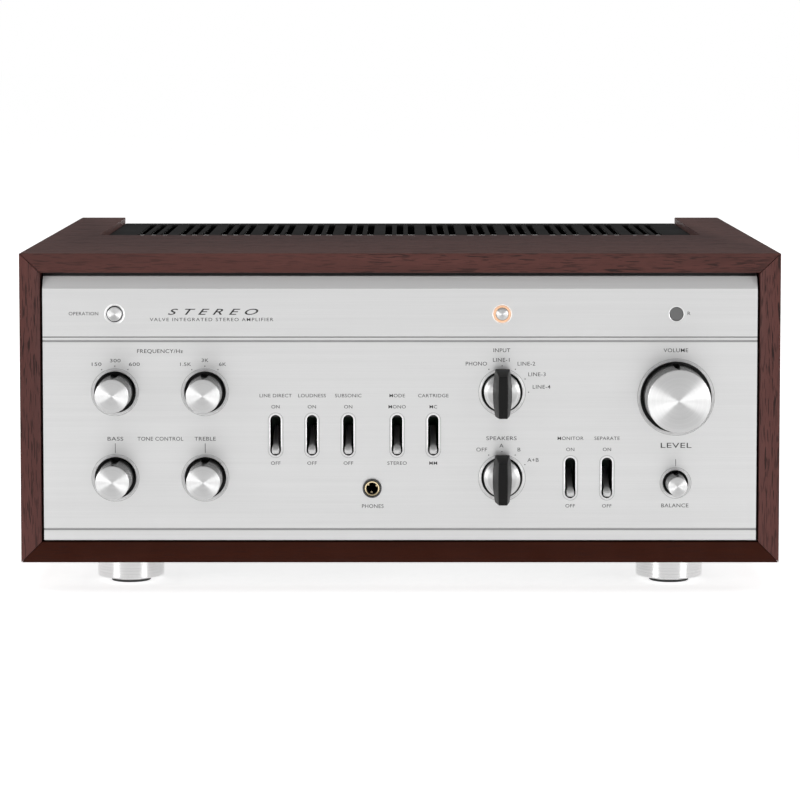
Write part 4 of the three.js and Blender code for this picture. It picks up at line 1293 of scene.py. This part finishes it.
# %% Transformers
FOOT_PLATE = 2 * MM
PLATE_PITCH = 1.5 * MM


def transformer(node, core_finish):
    """A core of thin plates, a taped winding through it with its two end flanges, and the foot."""
    low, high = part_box(node)
    centre, size = (low + high) / 2, high - low
    wide, tall = size.x / 2 - 8 * MM, size.z
    plate = bmesh.new()
    thin = PLATE_PITCH * 0.42
    block(plate, (-wide, -thin, FOOT_PLATE), (wide, thin, tall))
    count = round(size.y / 2 / PLATE_PITCH)
    start = Vector((centre.x, centre.y - (count - 1) / 2 * PLATE_PITCH, low.z))
    core = grown(ROWS, core_finish, mesh_of(plate), Columns=count, Rows=1, Start=start,
                 Column_step=(0, PLATE_PITCH, 0), Row_step=(0, 0, 0))
    inner = bmesh.new()
    block(inner, (centre.x - wide + 1 * MM, centre.y - size.y / 4 + 1 * MM, low.z + FOOT_PLATE),
          (centre.x + wide - 1 * MM, centre.y + size.y / 4 - 1 * MM, high.z - 1 * MM))
    winding = bmesh.new()
    half = wide * 0.7
    bottom, top = low.z + tall * 0.215, low.z + tall * 0.805
    block(winding, (centre.x - half, low.y + 1.5 * MM, bottom), (centre.x + half, high.y - 1.5 * MM, top))
    flanges = bmesh.new()
    for height in (bottom, top):
        block(flanges, (centre.x - half - 1 * MM, low.y, height - 0.8 * MM),
              (centre.x + half + 1 * MM, high.y, height + 0.8 * MM))
    foot = bmesh.new()
    block(foot, low, (high.x, high.y, low.z + FOOT_PLATE))
    parts = [core]
    for shape, width, steps, finish in ((inner, 0.5, 2, CORE_STEEL), (winding, 6, 5, WINDING_TAPE),
                                        (flanges, 0.4, 2, BAKELITE), (foot, 0.6, 2, ZINC_SHEET)):
        mesh = rounded(mesh_of(shape), width * MM, steps)
        mesh.materials.append(finish)
        parts.append(mesh)
    return keep(node + "_finished", joined(parts), "root", replaced=[node])


transformer("power_transformer", CORE_STEEL)
transformer("output_transformer_left", CORE_STEEL)
transformer("output_transformer_right", CORE_STEEL)

# %% Main board and its small parts
BOARD_LOW, BOARD_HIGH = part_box("main_board")
BOARD_THICK = 1.6 * MM
COMPONENT_SPOTS = [(x, y) for y in (23, 45, 62, 140) for x in (-140, -110, -55, -38, 38, 55, 110, 140)]


def main_board():
    """The board on four pillars, with small capacitors standing on it."""
    slab, pillars, points = bmesh.new(), bmesh.new(), bmesh.new()
    block(slab, (BOARD_LOW.x, BOARD_LOW.y, BOARD_HIGH.z - BOARD_THICK), BOARD_HIGH)
    tall = (BOARD_HIGH.z - BOARD_THICK - BOARD_LOW.z) / MM
    for x in (-142, 142):
        for y in (8, 152):
            spot = Vector((x * MM, BOARD_LOW.y + y * MM, BOARD_LOW.z))
            spin(pillars, [(0, 0), (3.7, 0), (4, 0.3), (4, tall - 0.3), (3.7, tall), (0, tall)], 6, spot,
                 "Z")
    for x, y in COMPONENT_SPOTS:
        points.verts.new((x * MM, BOARD_LOW.y + y * MM, BOARD_HIGH.z))
    can = turned([(0, 0), (3.6, 0), (3.9, 0.3), (3.9, 10.4), (3.6, 11), (3.2, 11), (3.1, 10.7), (0, 10.7)],
                 20, Vector(), "Z")
    slab, pillars = rounded(mesh_of(slab), 0.2 * MM), mesh_of(pillars)
    slab.materials.append(CIRCUIT_GREEN)
    pillars.materials.append(PLATED_STEEL)
    return joined([slab, pillars, scattered(can, CAN_SLEEVE, points, (0, 0, 1))])


keep("main_board_finished", main_board(), "root", replaced=["main_board"])


# %% Boards behind the front panel
def control_board(node, outline, controls, levers):
    """An upright board with a steel can round each control's shaft, and two cheeks beside each lever."""
    low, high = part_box(node)
    slab, cans, cheeks = bmesh.new(), bmesh.new(), bmesh.new()
    face = high.y - BOARD_THICK
    loft(slab, [upright([(x * MM, z * MM) for x, z in outline], y) for y in (face, high.y)])
    for name, radius, bore in controls:
        centre = CENTRES[name] if name in CENTRES else middle(name)
        start, deep = Vector((centre.x, low.y, centre.z)), (face - low.y) / MM + 0.3
        spin(cans, [(bore, 0), (bore + 1.6, 0), (bore + 1.6, 4.5), (radius - 0.5, 4.5), (radius, 5),
                    (radius, deep),
                    (bore, deep), (bore, 0)], 48, start)
    for name in levers:
        for side in (-1, 1):
            spot = CENTRES[name] + Vector((side * 4.25 * MM, 0, 0))
            block(cheeks, (spot.x - 0.75 * MM, CASE_FRONT + 22 * MM, spot.z - 10 * MM),
                  (spot.x + 0.75 * MM, face + 0.3 * MM, spot.z + 10 * MM))
    parts = [rounded(mesh_of(slab), 0.2 * MM), mesh_of(cans), rounded(mesh_of(cheeks), 0.3 * MM)]
    for mesh, finish in zip(parts, (CIRCUIT_GREEN, ZINC_SHEET, BAKELITE)):
        mesh.materials.append(finish)
    return keep(node + "_finished", joined(parts), "root", replaced=[node])


TURNED_SHAFT_BORE = 3.3
control_board("tone_board", [(-186, 45), (-96, 45), (-96, 77), (33, 77), (33, 176), (-186, 176)],
              [(name, 9, TURNED_SHAFT_BORE) for name in ("low_turnover_knob", "high_turnover_knob",
                                                         "bass_knob", "treble_knob")]
              + [("power_button", 7, 2.5)], LEVER_NAMES[:5])
control_board("selector_board", [(37, 45), (188, 45), (188, 134), (37, 134)],
              [("input_selector", 11, TURNED_SHAFT_BORE), ("speaker_selector", 11, TURNED_SHAFT_BORE),
               ("volume_knob", 13, TURNED_SHAFT_BORE), ("balance_knob", 8, TURNED_SHAFT_BORE)],
               LEVER_NAMES[5:])
print("boards done")


# %% Valves and filter capacitor
def valve(node):
    """A thin glass envelope on a brown base, with the grey anode and its mica discs inside."""
    low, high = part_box(node)
    start = Vector(((low.x + high.x) / 2, (low.y + high.y) / 2, low.z))
    radius, tall = (high.x - low.x) / 2 / MM, (high.z - low.z) / MM
    base = min(radius * 0.9, 14)
    outside = [(base * 0.8, 12), (radius * 0.82, 14), (radius * 0.95, 18), (radius, 24),
               (radius, tall - radius),
               (radius * 0.97, tall - radius * 0.72), (radius * 0.84, tall - radius * 0.4),
               (radius * 0.62, tall - radius * 0.17), (radius * 0.34, tall - 1.3), (0, tall)]
    inside = [(r - 1.0, z) if r > 1 else (0, z - 1.2) for r, z in reversed(outside)]
    glass_shape, works, brown, silver = bmesh.new(), bmesh.new(), bmesh.new(), bmesh.new()
    spin(glass_shape, [*outside, *inside, outside[0]], 48, start, "Z")
    spin(brown, [(0, 0), (base - 0.4, 0), (base, 0.4), (base, 10.8), (base - 0.8, 11.8), (0, 11.8)], 48,
         start, "Z")
    plate_low, plate_high = tall * 0.3, tall * 0.72
    for x in (-0.3, 0.3):
        spin(works, [(0, plate_low), (radius * 0.34, plate_low), (radius * 0.34, plate_high),
                     (0, plate_high)], 16,
             start + Vector((x * radius * MM, 0, 0)), "Z")
    for z in (plate_low - 1.5, plate_high + 1):
        spin(silver, [(0, z), (radius * 0.8, z), (radius * 0.8, z + 0.5), (0, z + 0.5)], 24, start, "Z")
    parts = [mesh_of(bm) for bm in (glass_shape, brown, works, silver)]
    for mesh, finish in zip(parts, (GLASS, BAKELITE, VALVE_PLATE, PLATED_STEEL)):
        mesh.materials.append(finish)
    return keep(node + "_finished", joined(parts), "root", replaced=[node])


for name in sorted(NODES):
    if "_valve_" in name:
        valve(name)
low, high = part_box("filter_capacitor")
can = turned([(0, 0), (21.5, 0), (22, 0.5), (22, 57), (21.6, 58.6), (20.6, 59.6), (19.6, 60), (18.8, 59.4),
              (18.6, 58.6),
              (0, 58.6)], 64, Vector(((low.x + high.x) / 2, (low.y + high.y) / 2, low.z)), "Z")
keep("filter_capacitor_finished", can, "root", [CAN_SLEEVE], ["filter_capacitor"])
print("valves and capacitor done")

# %% [markdown]
# ## Screws
# Small domed cross-head screws hold the rear panel, the terminal plates, the mains inlet and the
# tray. One screw is turned, its cross is cut, and the third tree sets copies of it on a cloud of
# points, all facing out of their panel.


# %% Screws
def screw_pattern(radius, tall):
    """A domed head facing +Z, with a cross cut into it."""
    dome = [(radius * sin(t), tall * (0.35 + 0.65 * cos(t))) for t in (0, 0.35, 0.7, 1.05, 1.4)]
    head = turned([*dome, (radius, tall * 0.3), (radius, 0), (0, 0)], 20, Vector(), "Z")
    arm, half = radius * 0.55, radius * 0.13
    for wide, deep in ((arm, half), (half, arm)):
        slot = bmesh.new()
        block(slot, Vector((-wide, -deep, tall * 0.45)) * MM, Vector((wide, deep, tall + 1)) * MM)
        head = carved(head, mesh_of(slot))
    return head


def screws(name, spots, facing, finish, radius=2.7, tall=1.5):
    """One piece with a screw on every spot, all facing the same way."""
    points = bmesh.new()
    for spot in spots:
        points.verts.new(spot)
    made = scattered(screw_pattern(radius, tall), finish, points, facing)
    return keep(name, made, "root", sharp=40)


REAR_LOW, REAR_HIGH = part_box("rear_panel")
around = [(x * MM, REAR_FACE, z) for z in (REAR_LOW.z + 6 * MM,
                                           REAR_HIGH.z - 6 * MM) for x in (-200, -100, 0, 100, 200)]
around += [(x * MM, REAR_FACE, 0.1) for x in (-200, 200)]
screws("rear_panel_screws", around, (0, 1, 0), BLACK_ENAMEL)
corners = []
for node, inset, raised in (("input_jacks", 5, 2.0), ("speaker_terminals", 4.5, 3.2)):
    low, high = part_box(node)
    for x in (low.x + inset * MM, high.x - inset * MM):
        for z in (low.z + inset * MM, high.z - inset * MM):
            corners.append((x, low.y + raised * MM, z))
low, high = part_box("power_inlet")
corners += [(x, high.y, (low.z + high.z) / 2) for x in (low.x + 4.5 * MM, high.x - 4.5 * MM)]
screws("terminal_screws", corners, (0, 1, 0), PLATED_STEEL, 2.2, 1.2)
TRAY_LOW, TRAY_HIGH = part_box("chassis_tray")
below = [(x * MM, y, TRAY_LOW.z) for y in (TRAY_LOW.y + 8 * MM,
                                           TRAY_HIGH.y - 8 * MM) for x in (-195, -65, 65, 195)]
screws("tray_screws", below, (0, 0, -1), PLATED_STEEL, tall=0.45)
print("screws done")

# %% [markdown]
# ## Printing
# The front carries small dark capitals, the dots of the selector scales and a tick over each tone
# knob, all screen printed. The rear has white lettering. Text is turned into a mesh and given a hair
# of thickness before it is placed. The dots are one small disc, copied by the tree of rings.

# %% Lettering tools
PRINT_PROUD = 0.03 * MM
SMALL, LARGE = 2.05, 2.3  # cap heights in millimetres
CAP_SHARE = 0.729  # the built-in font's cap height as a share of its size


def letters(text, cap, spacing=1.06, widen=1.12, slant=0.0, weight=0.005):
    """A thin mesh of the text in the XY plane, its middle at the origin, cap millimetres tall."""
    curve = bpy.data.curves.new("letters", "FONT")
    curve.body = text
    curve.size = cap / CAP_SHARE
    curve.space_character = spacing
    curve.shear = slant
    curve.align_x, curve.align_y = "CENTER", "CENTER"
    curve.extrude = PRINT_PROUD / MM
    curve.offset = weight
    curve.resolution_u = 4
    holder = bpy.data.objects.new("letters", curve)
    scene.collection.objects.link(holder)
    mesh = bpy.data.meshes.new_from_object(holder.evaluated_get(bpy.context.evaluated_depsgraph_get()))
    bpy.data.objects.remove(holder)
    mesh.transform(Matrix.Diagonal((widen * MM, MM, MM, 1)))
    return mesh


def printed(rows, turn, material):
    """A mesh for each (text, (x, y, z), cap) or longer row, standing upright and turned about Z."""
    meshes = []
    for text, spot, *style in rows:
        mesh = letters(text, *style)
        mesh.transform(Matrix.Translation(spot) @ Matrix.Rotation(turn, 4,
                                                                  "Z") @ Matrix.Rotation(pi / 2, 4, "X"))
        mesh.materials.clear()
        mesh.materials.append(material)
        meshes.append(mesh)
    return meshes


# %% Front lettering
ABOVE_HOLES, LEVER_TOP, LEVER_ON, LEVER_OFF = 139.9, 114.0, 107.5, 74.6
COLUMN = {name: centre.x / MM for name, centre in CENTRES.items()}
FRONT_WORDS = [
    ("OPERATION", -183.2, 161.7, SMALL, 1.07), ("R", 167.2, 161.9, SMALL),
    ("FREQUENCY/Hz", -139.2, ABOVE_HOLES, LARGE, 1.14),
    ("150", -176.2, 132.3, SMALL, 1.5), ("300", -165.1, 134.4, SMALL, 1.5),
    ("600", -154.0, 132.3, SMALL, 1.5),
    ("1.5K", -124.6, 132.3, SMALL, 1.28), ("3K", -113.1, 134.6, SMALL, 1.28),
    ("6K", -102.9, 132.3, SMALL, 1.28),
    ("BASS", -165.3, 88.8, LARGE, 1.36), ("TONE CONTROL", -139.1, 88.8, LARGE, 1.04),
    ("TREBLE", -113.1, 88.8, LARGE, 1.16),
    ("PHONES", -15.9, 49.4, LARGE, 1.03), ("INPUT", 58.9, 140.4, LARGE, 1.07),
    ("LINE-1", 58.9, 134.8, LARGE),
    ("PHONO", 44.2, 132.6, LARGE, 1.06), ("LINE-2", 73.2, 132.6, LARGE), ("LINE-3", 79.4, 126.4, LARGE),
    ("LINE-4", 82.0, 119.1, LARGE), ("SPEAKERS", 58.9, 89.1, LARGE, 1.24), ("A", 58.9, 84.8, LARGE),
    ("OFF", 47.4, 82.5, LARGE), ("B", 69.0, 82.5, LARGE), ("A+B", 77.3, 76.4, LARGE),
    ("VOLUME", 159.9, 140.4, LARGE, 1.12), ("BALANCE", 159.7, 49.8, LARGE),
    ("LEVEL", 160.1, 84.9, 3.1, 1.6),
]
for word, lever, upper, lower in (("LINE DIRECT", "direct", "ON", "OFF"),
                                  ("LOUDNESS", "loudness", "ON", "OFF"),
                                  ("SUBSONIC", "subsonic", "ON", "OFF"), ("MODE", "mode", "MONO", "STEREO"),
                                  ("CARTRIDGE", "cartridge", "MC", "MM")):
    x = COLUMN[lever + "_lever"]
    FRONT_WORDS += [(word, x, LEVER_TOP, SMALL), (upper, x, LEVER_ON, SMALL), (lower, x, LEVER_OFF, SMALL)]
for word in ("monitor", "separate"):
    x = COLUMN[word + "_lever"]
    FRONT_WORDS += [(word.upper(), x, 89.1, SMALL), ("ON", x, 82.6, SMALL), ("OFF", x, 49.6, SMALL)]
rows = [(word, (x * MM, PANEL_FACE, z * MM), cap, 1.06, *widen) for word, x, z, cap, *widen in FRONT_WORDS]
rows.append(("STEREO", (-109.1 * MM, PANEL_FACE, 162.7 * MM), 3.6, 1.7, 2.0, 0.4, 0.04))
rows.append(("VALVE INTEGRATED STEREO AMPLIFIER", (-109.1 * MM, PANEL_FACE, 158.3 * MM), 2.0, 1.25, 1.2))
front_print = printed(rows, 0, PRINT_DARK)

# %% Ticks and dots
TICKS = [("bass_knob", 83.4, 5.6), ("treble_knob", 83.4, 5.6), ("balance_knob", 75.0, 4.0)]
ticks = bmesh.new()
for name, z, tall in TICKS:
    x = COLUMN[name]
    block(ticks, Vector((x - 0.16, 0, z - tall / 2)) * MM + Vector((0, PANEL_FACE - PRINT_PROUD, 0)),
          Vector((x + 0.16, 0, z + tall / 2)) * MM + Vector((0, PANEL_FACE + PRINT_PROUD, 0)))
ticks = mesh_of(ticks)
ticks.materials.append(PRINT_DARK)
front_print.append(ticks)
DOT_RADIUS = 15.4
dot = turned([(0, -0.03), (0.32, -0.03), (0.32, 0.03), (0, 0.03)], 16, Vector())
for name, count, reach in (("low_turnover_knob", 3, 15.2), ("high_turnover_knob", 3, 15.2),
                           ("input_selector", 5, DOT_RADIUS), ("speaker_selector", 4, DOT_RADIUS)):
    spot = Vector((CENTRES[name].x, PANEL_FACE, CENTRES[name].z))
    front_print.append(grown(RING, PRINT_DARK, dot.copy(), Count=count, Centre=spot, Radius=reach * MM,
                             First_angle=radians(-30), Step_angle=radians(30)))
keep("front_printing", joined(front_print), "root", sharp=180)

# %% Rear lettering
STRIP_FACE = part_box("input_jacks")[0].y + STRIP_THICK
BLOCK_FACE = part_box("speaker_terminals")[0].y + BLOCK_THICK
REAR_WORDS = [("INPUTS", 126, 148, 3.2, REAR_FACE), ("SPEAKERS", -65, 117, 3.2, REAR_FACE),
              ("A", -131, 95, 3.2, REAR_FACE), ("B", -131, 62, 3.2, REAR_FACE),
              ("AC INPUT", -168, 82, 2.8, REAR_FACE), ("GROUND", 174, 80, 2.2, STRIP_FACE),
              ("L", 48, 131, 2.8, REAR_FACE), ("R", 48, 109, 2.8, REAR_FACE)]
SOURCES = ("PHONO", "LINE-1", "LINE-2", "LINE-3", "LINE-4", "REC", "MON", "PRE", "MAIN")
for number, word in enumerate(SOURCES):
    REAR_WORDS.append((word, 62 + 16 * number, 99, 2.3, STRIP_FACE))
for word, x in zip("+-+-", (-110, -85, -45, -20)):
    REAR_WORDS.append((word, x, 78.5, 3.0, BLOCK_FACE))
rows = [(word, (x * MM, face, z * MM), cap) for word, x, z, cap, face in REAR_WORDS]
keep("rear_printing", joined(printed(rows, pi, PRINT_LIGHT)), "root", sharp=180)
print("rear printing done")
